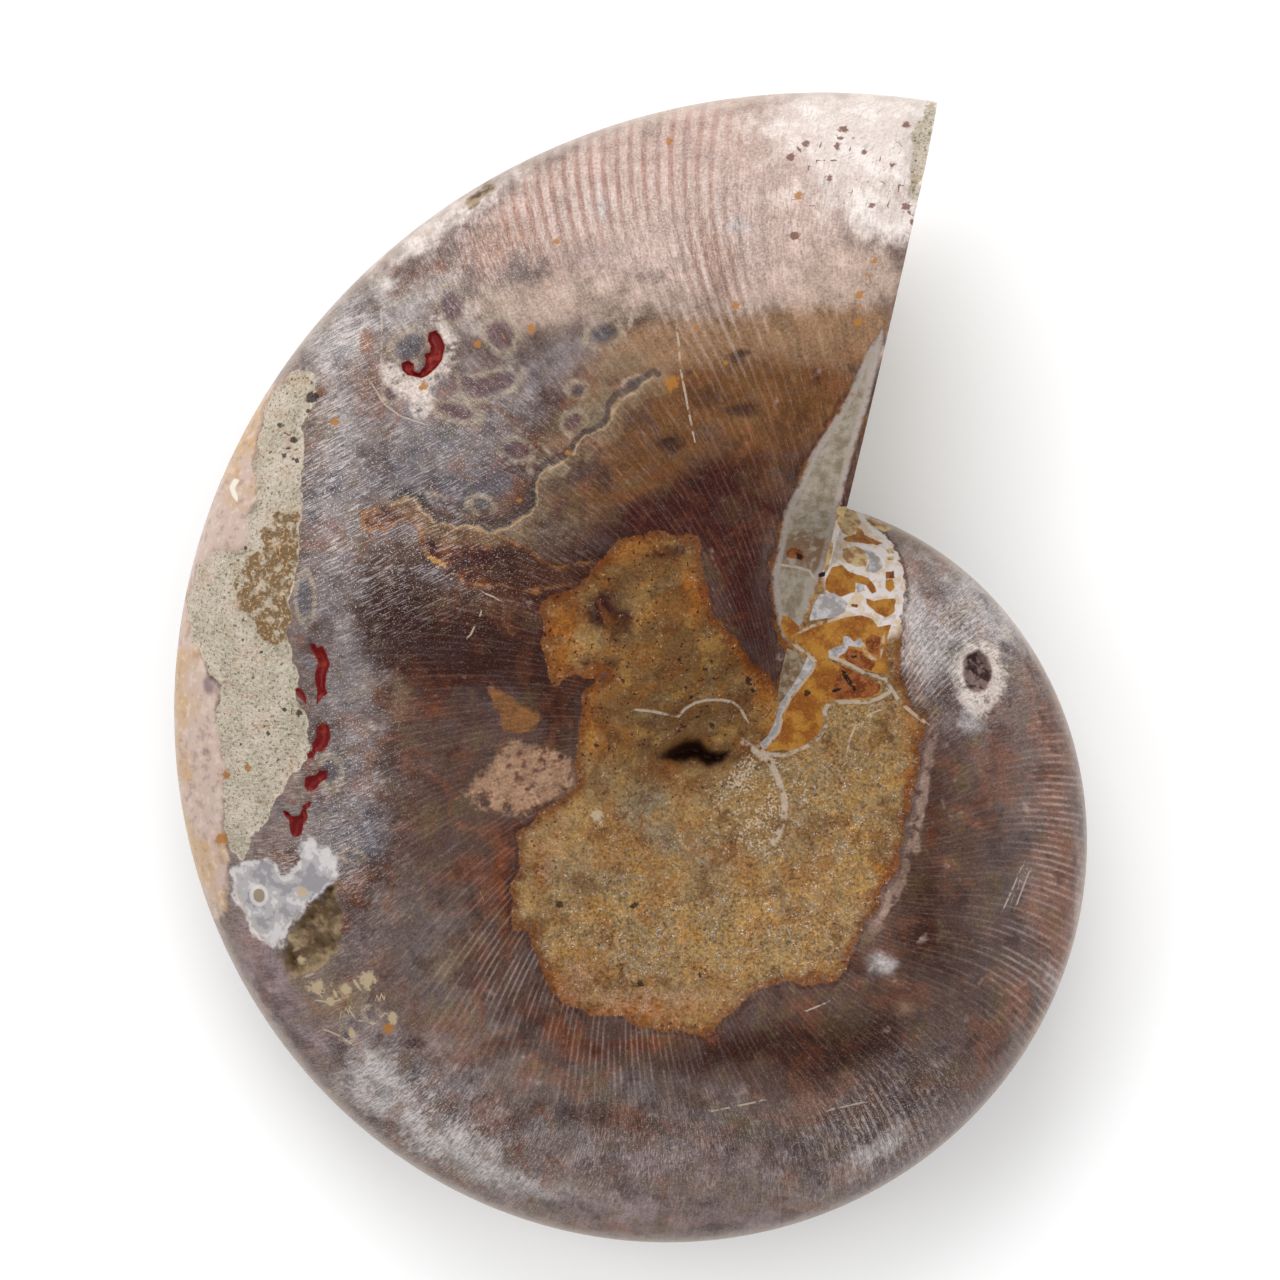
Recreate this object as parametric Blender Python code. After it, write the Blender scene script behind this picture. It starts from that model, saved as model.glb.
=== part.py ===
"""Polished ammonite, lying on its flank.

One closed solid: a flat coil whose edge is a logarithmic spiral, with two rounded flanks, sawn straight
across its last whorl. The coil is modelled level, with its spiral's pole at the centre, and is then tipped
onto the small flat spot that it rests on. Lengths are metres, and bearings are degrees anticlockwise from +X.
"""

import math

import bmesh
import bpy
from mathutils import Matrix, Vector

# Outline of the coil
SPIRAL_RADIUS = 0.0465  # pole to edge at the saw cut's bearing
EXPANSION = 2.385  # growth of that radius in one whole turn
OVAL_SHARE = 0.007  # the coil is a little taller than it is wide
OVAL_BEARING = 91.0
CUT_BEARING = 73.4  # where the saw cut leaves the edge, seen from the pole
CUT_DIRECTION = 76.5  # the way that the saw cut runs
CUT_OFFSET = 0.00275  # the saw cut's line passes this far from the pole

# Form of the flanks
HALF_THICKNESS = 0.0100  # most of one flank's height, at the saw cut
THICKNESS_POWER = 0.5  # how fast the height follows the growing radius
RIDGE_SHARE = 0.45  # where a flank is highest, from the hub to the edge
EDGE_POWER = 1.8  # roundness of the keel
DISH_SHARE = 0.35  # how far a flank falls from its ridge to the hub
CENTRE_LEVEL = 0.0054  # height of the ground middle
CENTRE_RADIUS = 0.0130

# The step from the last whorl down to the whorl inside it, along the saw cut
STEP_START = 0.0152  # from the hub; nearer the hub the two whorls are ground flush
MEETING_SHARE = 0.35  # height at which they meet, from the inner whorl's to the last one's
LAST_WHORL_SLOPE = 0.0050
INNER_WHORL_SLOPE = 0.0090

# Rest pose
TIP_ABOUT_X = 2.5
TIP_ABOUT_Y = -0.5
FLAT_DEPTH = 0.00025  # how much of the lowest flank is ground away

# Mesh density
COLUMNS = 120  # an even number: the underside has half as many
TOP_INNER_ROWS = 9
TOP_OUTER_ROWS = 18
UNDER_INNER_ROWS = 5
UNDER_OUTER_ROWS = 9

# Areas of the upper flank that lie lower than the shell round them: outline from the pole, depth, width of the edge
MILLIMETRE = 0.001
WORN_MIDDLE = (
    [(-7.5, 16.4), (-4.6, 17.0), (-1.8, 16.4), (-1.3, 12.2), (3.2, 7.0), (5.8, 12.5), (8.2, 17.2)],
    [(11.2, 14.0), (11.2, 8.5), (12.8, 4.4), (11.8, -1.8), (8.6, -9.4), (7.0, -12.6), (2.4, -12.9)],
    [(-1.6, -16.0), (-6.8, -14.8), (-11.0, -13.6), (-14.0, -8.0), (-13.6, -3.0), (-10.0, 0.6), (-9.6, 7.0)],
    [(-12.0, 8.6), (-12.0, 12.6)],
)
MATRIX_PATCH = (
    [(-28.3, 27.4), (-26.6, 26.6), (-27.6, 21.4), (-28.0, 10.4), (-28.2, 6.2), (-30.6, -1.2), (-31.8, -4.4)],
    [(-32.8, -1.4), (-33.4, 6.4), (-34.8, 13.8), (-31.4, 17.0), (-30.6, 22.4)],
)
LOST_LAYER = (
    [(-4.9, 27.0), (-7.1, 25.4), (-9.2, 23.0), (-10.9, 21.5), (-12.5, 17.9), (-18.9, 17.3), (-22.0, 19.6)],
    [(-20.0, 24.0), (-14.0, 26.6), (-8.8, 30.0), (-5.4, 29.4)],
)
WORN_AREAS = ((WORN_MIDDLE, 0.00030, 0.0008), (MATRIX_PATCH, 0.00040, 0.0008), (LOST_LAYER, 0.00025, 0.0006))

# Hollows of the upper flank: place from the pole, half length, half width, depth and bearing of the length
UMBILICUS = ((-2.2, 2.4), 2.3, 1.0, 1.1, 12.0)
BURST_PIT = ((-19.8, 28.4), 1.7, 0.9, 0.6, 58.0)
ROUND_PIT = ((16.3, 7.8), 1.6, 1.0, 0.7, 100.0)
BROKEN_HOLLOW = ((-27.0, -9.8), 2.2, 1.4, 0.5, 60.0)
HOLLOWS = (UMBILICUS, BURST_PIT, ROUND_PIT, BROKEN_HOLLOW)

# Chip out of the keel: its bearing from the pole, half length and depth
CHIP_BEARING = 112.5
CHIP_HALF_LENGTH = 0.0011
CHIP_DEPTH = 0.0005

SHELL_COLOUR = (0.16, 0.105, 0.08, 1.0)
SHELL_ROUGHNESS = 0.35


def direction(bearing):
    return Vector((math.cos(math.radians(bearing)), math.sin(math.radians(bearing))))


CUT_WAY = direction(CUT_DIRECTION)
HUB = Vector((CUT_WAY.y, -CUT_WAY.x)) * CUT_OFFSET


def edge_point(bearing):
    """The coil's edge, seen from the pole. A bearing past a whole turn is on the whorl inside."""
    oval = 1 + OVAL_SHARE * math.cos(2 * math.radians(bearing - OVAL_BEARING))
    return direction(bearing) * SPIRAL_RADIUS * oval * EXPANSION ** (-(bearing - CUT_BEARING) / 360)


def side_of_cut(bearing):
    out = edge_point(bearing) - HUB
    return CUT_WAY.x * out.y - CUT_WAY.y * out.x


def bearing_on_cut(low, high):
    """The bearing between low and high at which the edge meets the saw cut's line."""
    for _ in range(60):
        middle = (low + high) / 2
        if side_of_cut(middle) > 0:
            high = middle
        else:
            low = middle
    return (low + high) / 2


FIRST_BEARING = bearing_on_cut(CUT_BEARING - 10, CUT_BEARING + 10)
LAST_BEARING = bearing_on_cut(CUT_BEARING + 345, CUT_BEARING + 365)


def smooth(share):
    share = min(1.0, max(0.0, share))
    return share * share * (3 - 2 * share)


def profile(share):
    """Height of a flank at a share of the way from hub to edge, against its ridge."""
    if share > RIDGE_SHARE:
        out = (share - RIDGE_SHARE) / (1 - RIDGE_SHARE)
        return math.sqrt(max(0.0, 1 - out**EDGE_POWER))
    return 1 - DISH_SHARE * ((RIDGE_SHARE - share) / RIDGE_SHARE) ** 2


def whorl_height(bearing, reach):
    """A whorl's own flank at a distance from the hub, with the ground middle blended in."""
    length = (edge_point(bearing) - HUB).length
    ridge = HALF_THICKNESS * EXPANSION ** (-THICKNESS_POWER * (bearing - FIRST_BEARING) / 360)
    own = ridge * profile(min(1.0, reach / length))
    return CENTRE_LEVEL + (own - CENTRE_LEVEL) * smooth(reach / CENTRE_RADIUS)


def flank_height(bearing, reach):
    """Height of the finished flank: near the saw cut the two whorls are drawn together."""
    own = whorl_height(bearing, reach)
    inner_edge = (edge_point(LAST_BEARING) - HUB).length
    if reach >= inner_edge:
        return own
    last = whorl_height(FIRST_BEARING, reach)
    inner = whorl_height(LAST_BEARING, reach)
    meeting = inner + MEETING_SHARE * (last - inner)
    flush = 1 - smooth((reach - STEP_START) / (inner_edge - STEP_START))
    past_last = reach * math.radians(bearing - FIRST_BEARING)
    before_inner = reach * math.radians(LAST_BEARING - bearing)
    own += flush * (meeting - last) * (1 - smooth(past_last / LAST_WHORL_SLOPE))
    own += flush * (meeting - inner) * (1 - smooth(before_inner / INNER_WHORL_SLOPE))
    return own


def depth_inside(point, outline):
    """Distance from a point to an outline, positive inside it."""
    nearest = math.inf
    inside = False
    for start, end in zip(outline, outline[1:] + outline[:1]):
        side = end - start
        share = min(1.0, max(0.0, (point - start).dot(side) / side.length_squared))
        nearest = min(nearest, (point - start - share * side).length)
        if (start.y > point.y) != (end.y > point.y):
            crossing = start.x + (point.y - start.y) * side.x / side.y
            inside ^= point.x < crossing
    return nearest if inside else -nearest


def worn_depth(point):
    """How far wear has lowered the upper flank at a point seen from the pole."""
    depth = 0.0
    for runs, most, edge in WORN_AREAS:
        outline = [Vector(corner) * MILLIMETRE for run in runs for corner in run]
        depth += most * smooth(0.5 + depth_inside(point, outline) / edge)
    return depth


def chip_depth(bearing, share):
    """How far the keel is broken back at a bearing, at a share of the way from hub to edge."""
    along = math.radians(bearing - CHIP_BEARING) * edge_point(bearing).length
    if abs(along) > CHIP_HALF_LENGTH:
        return 0.0
    return CHIP_DEPTH * smooth((share - 0.9) / 0.1)


def row_reaches(length, inner_rows, outer_rows):
    """Distances from the hub of one column's rows, closer together towards the edge."""
    reaches = [STEP_START * row / inner_rows for row in range(1, inner_rows + 1)]
    for row in range(1, outer_rows + 1):
        out = math.sin(math.pi / 2 * row / outer_rows)
        reaches.append(STEP_START + (length - STEP_START) * out)
    return reaches


def flank_column(bearing, side, inner_rows, outer_rows):
    """Points of one column from the hub out to the edge, which is left out. side is 1 above and -1 below."""
    out = edge_point(bearing) - HUB
    length = out.length
    points = []
    for reach in row_reaches(length, inner_rows, outer_rows)[:-1]:
        point = HUB + out * ((reach - chip_depth(bearing, reach / length)) / length)
        height = flank_height(bearing, reach)
        if side > 0:
            height -= worn_depth(point)
        points.append(Vector((point.x, point.y, side * height)))
    return points


def add_flank(bm, rim, side, every, inner_rows, outer_rows):
    """Adds one flank between the hub and the rim's vertices, and returns its first and last columns."""
    hub = bm.verts.new((HUB.x, HUB.y, side * flank_height(FIRST_BEARING, 0.0)))
    columns = []
    for index in range(0, COLUMNS + 1, every):
        bearing = FIRST_BEARING + (LAST_BEARING - FIRST_BEARING) * index / COLUMNS
        points = flank_column(bearing, side, inner_rows, outer_rows)
        if index == COLUMNS:
            own = [bm.verts.new(point) for point in points[inner_rows:]]
            columns.append(columns[0][:inner_rows] + own)
        else:
            columns.append([bm.verts.new(point) for point in points])
    for number, (here, there) in enumerate(zip(columns, columns[1:])):
        faces = [[hub, here[0], there[0]]]
        for row in range(len(here) - 1):
            faces.append([here[row], here[row + 1], there[row + 1], there[row]])
        rim_run = rim[number * every : (number + 1) * every + 1]
        faces.append([here[-1], *rim_run, there[-1]])
        for face in faces:
            bm.faces.new(face if side > 0 else face[::-1])
    return columns[0], columns[-1]


def add_cut_face(bm, rim, top, under):
    """Closes the shell across the saw cut: the last whorl's section, less the whorl inside it."""
    first_top, last_top = (column[TOP_INNER_ROWS - 1 :] for column in top)
    first_under, last_under = (column[UNDER_INNER_ROWS - 1 :] for column in under)
    outer = [*first_under, rim[0], *reversed(first_top)]
    inner = [*last_top[1:], rim[-1], *reversed(last_under[1:])]
    bm.faces.new(outer + inner)


def lowest_plane(bm, turn):
    """Height of the resting plane, once the coil is tipped."""
    return min((turn @ vert.co).z for vert in bm.verts) + FLAT_DEPTH


def grind_flat(bm, turn, level):
    """Cuts the tipped coil off at the resting plane and closes it there."""
    up = turn.inverted() @ Vector((0, 0, 1))
    geometry = bm.verts[:] + bm.edges[:] + bm.faces[:]
    cut = bmesh.ops.bisect_plane(bm, geom=geometry, plane_co=up * level, plane_no=up, clear_inner=True)
    edges = [part for part in cut["geom_cut"] if isinstance(part, bmesh.types.BMEdge)]
    bmesh.ops.holes_fill(bm, edges=edges, sides=0)


def ellipsoid(bm, place, half_length, half_width, depth, bearing):
    """Adds a cutter whose middle is on the flank, so that half of it goes in."""
    point = Vector(place) * MILLIMETRE
    level = height_over(point)
    shape = Matrix.Diagonal((half_length * MILLIMETRE, half_width * MILLIMETRE, depth * MILLIMETRE, 1))
    turned = Matrix.Rotation(math.radians(bearing), 4, "Z")
    placed = Matrix.Translation((point.x, point.y, level)) @ turned @ shape
    bmesh.ops.create_icosphere(bm, subdivisions=2, radius=1.0, matrix=placed)


def height_over(point):
    """Height of the worn upper flank over a point seen from the pole."""
    out = point - HUB
    wanted = math.degrees(math.atan2(out.y, out.x))
    low, high = FIRST_BEARING, LAST_BEARING
    for _ in range(50):
        middle = (low + high) / 2
        seen = edge_point(middle) - HUB
        turned = (math.degrees(math.atan2(seen.y, seen.x)) - CUT_DIRECTION) % 360
        if turned > (wanted - CUT_DIRECTION) % 360:
            high = middle
        else:
            low = middle
    return flank_height(low, out.length) - worn_depth(point)


def shell_material():
    material = bpy.data.materials.new("polished_shell")
    material.use_nodes = True
    shader = material.node_tree.nodes["Principled BSDF"]
    shader.inputs["Base Color"].default_value = SHELL_COLOUR
    shader.inputs["Roughness"].default_value = SHELL_ROUGHNESS
    shader.inputs["Metallic"].default_value = 0.0
    return material


def shell_mesh(turn):
    """The coil, level, with its resting spot already ground, and the height of the resting plane."""
    bm = bmesh.new()
    rim = []
    for index in range(COLUMNS + 1):
        bearing = FIRST_BEARING + (LAST_BEARING - FIRST_BEARING) * index / COLUMNS
        out = edge_point(bearing) - HUB
        point = HUB + out * (1 - chip_depth(bearing, 1.0) / out.length)
        rim.append(bm.verts.new((point.x, point.y, 0.0)))
    top = add_flank(bm, rim, 1, 1, TOP_INNER_ROWS, TOP_OUTER_ROWS)
    under = add_flank(bm, rim, -1, 2, UNDER_INNER_ROWS, UNDER_OUTER_ROWS)
    add_cut_face(bm, rim, top, under)
    level = lowest_plane(bm, turn)
    grind_flat(bm, turn, level)
    bmesh.ops.recalc_face_normals(bm, faces=bm.faces[:])
    bmesh.ops.triangulate(bm, faces=bm.faces[:])
    mesh = bpy.data.meshes.new("ammonite")
    bm.to_mesh(mesh)
    bm.free()
    return mesh, level


def hollow_cutter():
    bm = bmesh.new()
    for hollow in HOLLOWS:
        ellipsoid(bm, *hollow)
    mesh = bpy.data.meshes.new("hollow_cutter")
    bm.to_mesh(mesh)
    bm.free()
    cutter = bpy.data.objects.new("hollow_cutter", mesh)
    cutter.hide_render = True
    cutter.display_type = "WIRE"
    return cutter


def main():
    for old in list(bpy.data.objects):
        bpy.data.objects.remove(old, do_unlink=True)
    turn = (
        Matrix.Rotation(math.radians(TIP_ABOUT_X), 4, "X") @ Matrix.Rotation(math.radians(TIP_ABOUT_Y), 4, "Y")
    )
    mesh, level = shell_mesh(turn)
    mesh.materials.append(shell_material())
    corners = [turn @ vert.co for vert in mesh.vertices]
    middle_x = (min(c.x for c in corners) + max(c.x for c in corners)) / 2
    middle_y = (min(c.y for c in corners) + max(c.y for c in corners)) / 2
    rest = Matrix.Translation((-middle_x, -middle_y, -level)) @ turn

    ammonite = bpy.data.objects.new("ammonite", mesh)
    cutter = hollow_cutter()
    for obj in (ammonite, cutter):
        bpy.context.scene.collection.objects.link(obj)
        obj.matrix_world = rest
    hollows = ammonite.modifiers.new("hollows", "BOOLEAN")
    hollows.operation = "DIFFERENCE"
    hollows.object = cutter
    mesh.shade_smooth()
    mesh.set_sharp_from_angle(angle=math.radians(35))


main()
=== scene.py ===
"""Polished ammonite lying on its flank: the fine surface of the shell, the floor, the lights and the camera.

The coil is made level, with its spiral's pole at the centre, in metres, and is then tipped onto its resting
flat. Places on the face that shows are given in pixels of a picture 1280 pixels square, taken square to the
coil.
"""

import math

import bmesh
import bpy
import numpy as np
from bpy.props import FloatProperty, FloatVectorProperty, IntProperty, PointerProperty
from mathutils import Matrix, Vector, noise


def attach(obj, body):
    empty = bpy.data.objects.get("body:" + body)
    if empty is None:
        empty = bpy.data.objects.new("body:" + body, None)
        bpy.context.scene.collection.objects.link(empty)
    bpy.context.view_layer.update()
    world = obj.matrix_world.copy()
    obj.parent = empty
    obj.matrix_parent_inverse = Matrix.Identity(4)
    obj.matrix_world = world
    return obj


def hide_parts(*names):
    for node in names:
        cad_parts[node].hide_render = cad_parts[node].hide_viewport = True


bl_info = {
    "name": "Polished ammonite",
    "version": (1, 0, 0),
    "blender": (4, 5, 0),
    "location": "3D View > Sidebar > Ammonite",
    "description": "Builds a sawn and polished ammonite, the floor under it, the lights and the camera",
    "category": "Add Mesh",
}

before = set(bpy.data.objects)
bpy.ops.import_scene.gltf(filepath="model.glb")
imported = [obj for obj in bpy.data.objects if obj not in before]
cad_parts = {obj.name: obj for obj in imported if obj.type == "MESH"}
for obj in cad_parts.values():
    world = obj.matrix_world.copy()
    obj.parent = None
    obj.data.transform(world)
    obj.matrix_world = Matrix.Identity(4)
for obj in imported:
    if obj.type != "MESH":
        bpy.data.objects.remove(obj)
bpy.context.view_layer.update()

MILLIMETRE = 0.001

# The picture that places are given in
PICTURE_SIDE = 1280
PIXEL = 0.0000651  # metres on the coil's middle plane
POLE_PIXEL = (728, 790)
LENS = 100.0
SENSOR = 36.0
CAMERA_DISTANCE = PICTURE_SIDE * PIXEL * LENS / SENSOR
VIEW_CENTRE = Vector(
    ((PICTURE_SIDE / 2 - POLE_PIXEL[0]) * PIXEL, (POLE_PIXEL[1] - PICTURE_SIDE / 2) * PIXEL, 0.0)
)

# Shape that the shell shares with the solid model, in metres and degrees
OVAL_SHARE = 0.007
OVAL_BEARING = 91.0
CUT_BEARING = 73.4
CUT_DIRECTION = 76.5
CUT_OFFSET = 0.00275
THICKNESS_POWER = 0.5
RIDGE_SHARE = 0.45
EDGE_POWER = 1.8
DISH_SHARE = 0.35
CENTRE_LEVEL = 0.0054
CENTRE_RADIUS = 0.0130
STEP_START = 0.0152
MEETING_SHARE = 0.35
LAST_WHORL_SLOPE = 0.0050
INNER_WHORL_SLOPE = 0.0090
TIP_ABOUT_X = 2.5
TIP_ABOUT_Y = -0.5
FLAT_DEPTH = 0.00025
GROWTH_LEAN = 0.42  # how much a growth line turns back as it leaves the middle
GROWTH_SWEEP = 0.745  # how fast it then turns forward, from SWEEP_START on, as it nears the keel
SWEEP_START = 0.45
INNER_RING_SHARE = 0.34  # rings of the grid within STEP_START of the hub
EDGE_CROWDING = 1.3  # how much closer the rings lie at the keel
UNDER_REACH = 0.985  # the under flank's own grid stops this far out, and a strip joins it to the keel
UNDER_RING_SHARE = 0.46  # the under flank's rings, as a share of the upper flank's

# How the stage's lights turn paint into the colour that is seen
LIGHT_GAIN = 1.28
VEIL = 0.018


class ShellSettings(bpy.types.PropertyGroup):
    spiral_radius: FloatProperty(
        name="Spiral radius",
        description="From the pole to the keel at the saw cut",
        default=0.0465,
        unit="LENGTH",
    )
    expansion: FloatProperty(
        name="Expansion",
        description="Growth of the radius in one whole turn",
        default=2.385,
        min=1.5,
        max=4.0,
    )
    half_thickness: FloatProperty(
        name="Half thickness", description="Height of one flank at the saw cut", default=0.0100, unit="LENGTH"
    )
    rings: IntProperty(
        name="Rings", description="Rings of faces on the flank that shows", default=98, min=20, max=200
    )
    growth_lines: IntProperty(
        name="Growth lines", description="Growth lines in one whole turn", default=290, min=50, max=600
    )
    inner_brown: FloatVectorProperty(
        name="Inner brown",
        description="Shell near the worn middle",
        default=(0.078, 0.040, 0.029),
        subtype="COLOR",
    )
    outer_brown: FloatVectorProperty(
        name="Outer brown", description="Shell near the keel", default=(0.170, 0.122, 0.108), subtype="COLOR"
    )
    ochre: FloatVectorProperty(
        name="Ochre", description="Stone of the worn middle", default=(0.240, 0.145, 0.060), subtype="COLOR"
    )
    stone: FloatVectorProperty(
        name="Grey stone",
        description="Stone left on the outer whorl",
        default=(0.400, 0.350, 0.265),
        subtype="COLOR",
    )
    pole_at_rest: FloatVectorProperty(
        name="Pole",
        description="Where the spiral's pole comes to rest, set when the shell is built",
        subtype="XYZ",
        unit="LENGTH",
    )


class StageSettings(bpy.types.PropertyGroup):
    floor_side: FloatProperty(
        name="Floor side", description="Side of the square floor", default=3.0, unit="LENGTH"
    )
    floor_colour: FloatVectorProperty(
        name="Floor", description="Colour of the floor", default=(0.97, 0.97, 0.97), subtype="COLOR"
    )


class Term:
    """A number in a node tree. Arithmetic on it adds Math nodes to the tree."""

    def __init__(self, tree, source):
        self.tree = tree
        self.source = source

    def math(self, operation, *others):
        node = self.tree.nodes.new("ShaderNodeMath")
        node.operation = operation
        for socket, value in zip(node.inputs, (self, *others)):
            plug(self.tree, socket, value)
        return Term(self.tree, node.outputs[0])

    def __add__(self, other):
        return self.math("ADD", other)

    def __radd__(self, other):
        return self.math("ADD", other)

    def __sub__(self, other):
        return self.math("SUBTRACT", other)

    def __rsub__(self, other):
        return Term(self.tree, other).math("SUBTRACT", self)

    def __mul__(self, other):
        return self.math("MULTIPLY", other)

    def __rmul__(self, other):
        return self.math("MULTIPLY", other)

    def __truediv__(self, other):
        return self.math("DIVIDE", other)

    def __pow__(self, other):
        return self.math("POWER", other)

    def over(self, edge):
        """1 where this is more than the edge, otherwise 0."""
        return self.math("GREATER_THAN", edge)

    def eased(self, low, high, start, end):
        """start up to low, end from high on, and a smooth change between them."""
        inputs = {"Value": self, "From Min": low, "From Max": high, "To Min": start, "To Max": end}
        node = node_with(self.tree, "ShaderNodeMapRange", inputs, interpolation_type="SMOOTHSTEP")
        return Term(self.tree, node.outputs["Result"])

    def within(self, low, high):
        """0 up to low and 1 from high on."""
        return self.eased(low, high, 0.0, 1.0)

    def below(self, low, high):
        """1 up to low and 0 from high on."""
        return self.eased(low, high, 1.0, 0.0)

    def near(self, value, half_width, blur):
        """1 within half_width of the value, fading to 0 over the blur."""
        return (self - value).math("ABSOLUTE").below(half_width, half_width + blur)


def plug(tree, socket, value):
    """Links a term or a socket to an input, or sets the input to a plain value."""
    if isinstance(value, Term):
        value = value.source
    if isinstance(value, bpy.types.NodeSocket):
        tree.links.new(value, socket)
    else:
        socket.default_value = value


def either(choice, yes, no):
    """yes where choice is 1 and no where it is 0."""
    return no + choice * (yes - no)


def node_with(tree, kind, inputs=(), **settings):
    node = tree.nodes.new(kind)
    for name, value in settings.items():
        setattr(node, name, value)
    for name, value in dict(inputs).items():
        plug(tree, node.inputs[name], value)
    return node


def direction(bearing):
    return Vector((math.cos(math.radians(bearing)), math.sin(math.radians(bearing))))


CUT_WAY = direction(CUT_DIRECTION)
HUB = Vector((CUT_WAY.y, -CUT_WAY.x)) * CUT_OFFSET


def edge_point(shell, bearing):
    """The keel at a bearing in degrees, seen from the pole."""
    oval = 1 + OVAL_SHARE * math.cos(2 * math.radians(bearing - OVAL_BEARING))
    growth = shell.expansion ** ((CUT_BEARING - bearing) / 360)
    return direction(bearing) * shell.spiral_radius * oval * growth


HALVINGS = 60  # steps of the search for a bearing


def bearing_on_cut(shell, low, high):
    """The bearing between low and high at which the keel meets the saw cut's line."""
    for _ in range(HALVINGS):
        middle = (low + high) / 2
        out = edge_point(shell, middle) - HUB
        if CUT_WAY.x * out.y > CUT_WAY.y * out.x:
            high = middle
        else:
            low = middle
    return (low + high) / 2


def cut_bearings(shell):
    """The keel's bearings at the two ends of the last whorl."""
    first = bearing_on_cut(shell, CUT_BEARING - 10, CUT_BEARING + 10)
    last = bearing_on_cut(shell, CUT_BEARING + 345, CUT_BEARING + 365)
    return first, last


class ShellForm:
    """The coil's rule as terms of a Geometry Nodes tree. Bearings are in radians."""

    def __init__(self, tree, sizes):
        self.tree = tree
        self.sizes = sizes
        inner_x, inner_y = self.edge_from_hub(sizes["Last Bearing"])
        self.inner_edge = (inner_x * inner_x + inner_y * inner_y).math("SQRT")

    def edge_from_hub(self, bearing):
        turned = (bearing - math.radians(CUT_BEARING)) / math.tau
        oval = 1 + OVAL_SHARE * ((bearing - math.radians(OVAL_BEARING)) * 2).math("COSINE")
        radius = self.sizes["Spiral Radius"] * oval * self.sizes["Expansion"] ** (0 - turned)
        return radius * bearing.math("COSINE") - HUB.x, radius * bearing.math("SINE") - HUB.y

    def whorl_height(self, bearing, reach):
        x, y = self.edge_from_hub(bearing)
        share = reach / (x * x + y * y).math("SQRT")
        turned = (bearing - self.sizes["First Bearing"]) / math.tau
        ridge = self.sizes["Half Thickness"] * self.sizes["Expansion"] ** (turned * -THICKNESS_POWER)
        out = ((share - RIDGE_SHARE) / (1 - RIDGE_SHARE)).math("MAXIMUM", 0.0)
        inward = ((RIDGE_SHARE - share) / RIDGE_SHARE).math("MAXIMUM", 0.0)
        keel = (1 - out**EDGE_POWER).math("MAXIMUM", 0.0).math("SQRT")
        own = ridge * keel * (1 - inward * inward * DISH_SHARE)
        return CENTRE_LEVEL + (own - CENTRE_LEVEL) * reach.within(0.0, CENTRE_RADIUS)

    def flank_height(self, bearing, reach):
        first, last_bearing = self.sizes["First Bearing"], self.sizes["Last Bearing"]
        within = reach.math("MINIMUM", self.inner_edge)
        last = self.whorl_height(first, within)
        inner = self.whorl_height(last_bearing, within)
        meeting = inner + (last - inner) * MEETING_SHARE
        flush = 1 - reach.within(STEP_START, self.inner_edge)
        near_last = 1 - (reach * (bearing - first)).within(0.0, LAST_WHORL_SLOPE)
        near_inner = 1 - (reach * (last_bearing - bearing)).within(0.0, INNER_WHORL_SLOPE)
        drawn = flush * ((meeting - last) * near_last + (meeting - inner) * near_inner)
        return self.whorl_height(bearing, reach) + drawn


SEAM_GAP = 1e-5  # half width of the strip that counts as the grid's seam, in grid units
EQUAL = 1e-6  # grid values this close count as the same


def square_turn(x, y, lower_half):
    """The share of a turn of a point of the square grid, counted along its ring from the +X axis."""
    sideways = x.math("ABSOLUTE").over(y.math("ABSOLUTE"))
    by_side = either(x.over(0.0), 0.0, 0.5) + y / x / 8
    by_top = either(y.over(0.0), 0.25, 0.75) - x / y / 8
    corner = 1 - (x.math("ABSOLUTE") - y.math("ABSOLUTE")).math("ABSOLUTE").over(EQUAL)
    turn = either(sideways.math("MAXIMUM", corner), by_side, by_top).math("FRACT")
    on_seam = y.math("ABSOLUTE").math("LESS_THAN", SEAM_GAP) * x.over(0.0)
    return either(on_seam * lower_half, 1.0, turn)


def named_value(tree, name, kind="FLOAT"):
    node = node_with(tree, "GeometryNodeInputNamedAttribute", {"Name": name}, data_type=kind)
    return Term(tree, node.outputs["Attribute"])


def kept(tree, geometry, name, value, domain="POINT"):
    """Stores a value on the geometry under a name."""
    inputs = {"Geometry": geometry, "Name": name, "Value": value}
    kind = "GeometryNodeStoreNamedAttribute"
    return node_with(tree, kind, inputs, data_type="FLOAT", domain=domain).outputs["Geometry"]


def place_of(tree):
    position = tree.nodes.new("GeometryNodeInputPosition").outputs[0]
    split = node_with(tree, "ShaderNodeSeparateXYZ", {"Vector": position})
    return [Term(tree, socket) for socket in split.outputs]


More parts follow.
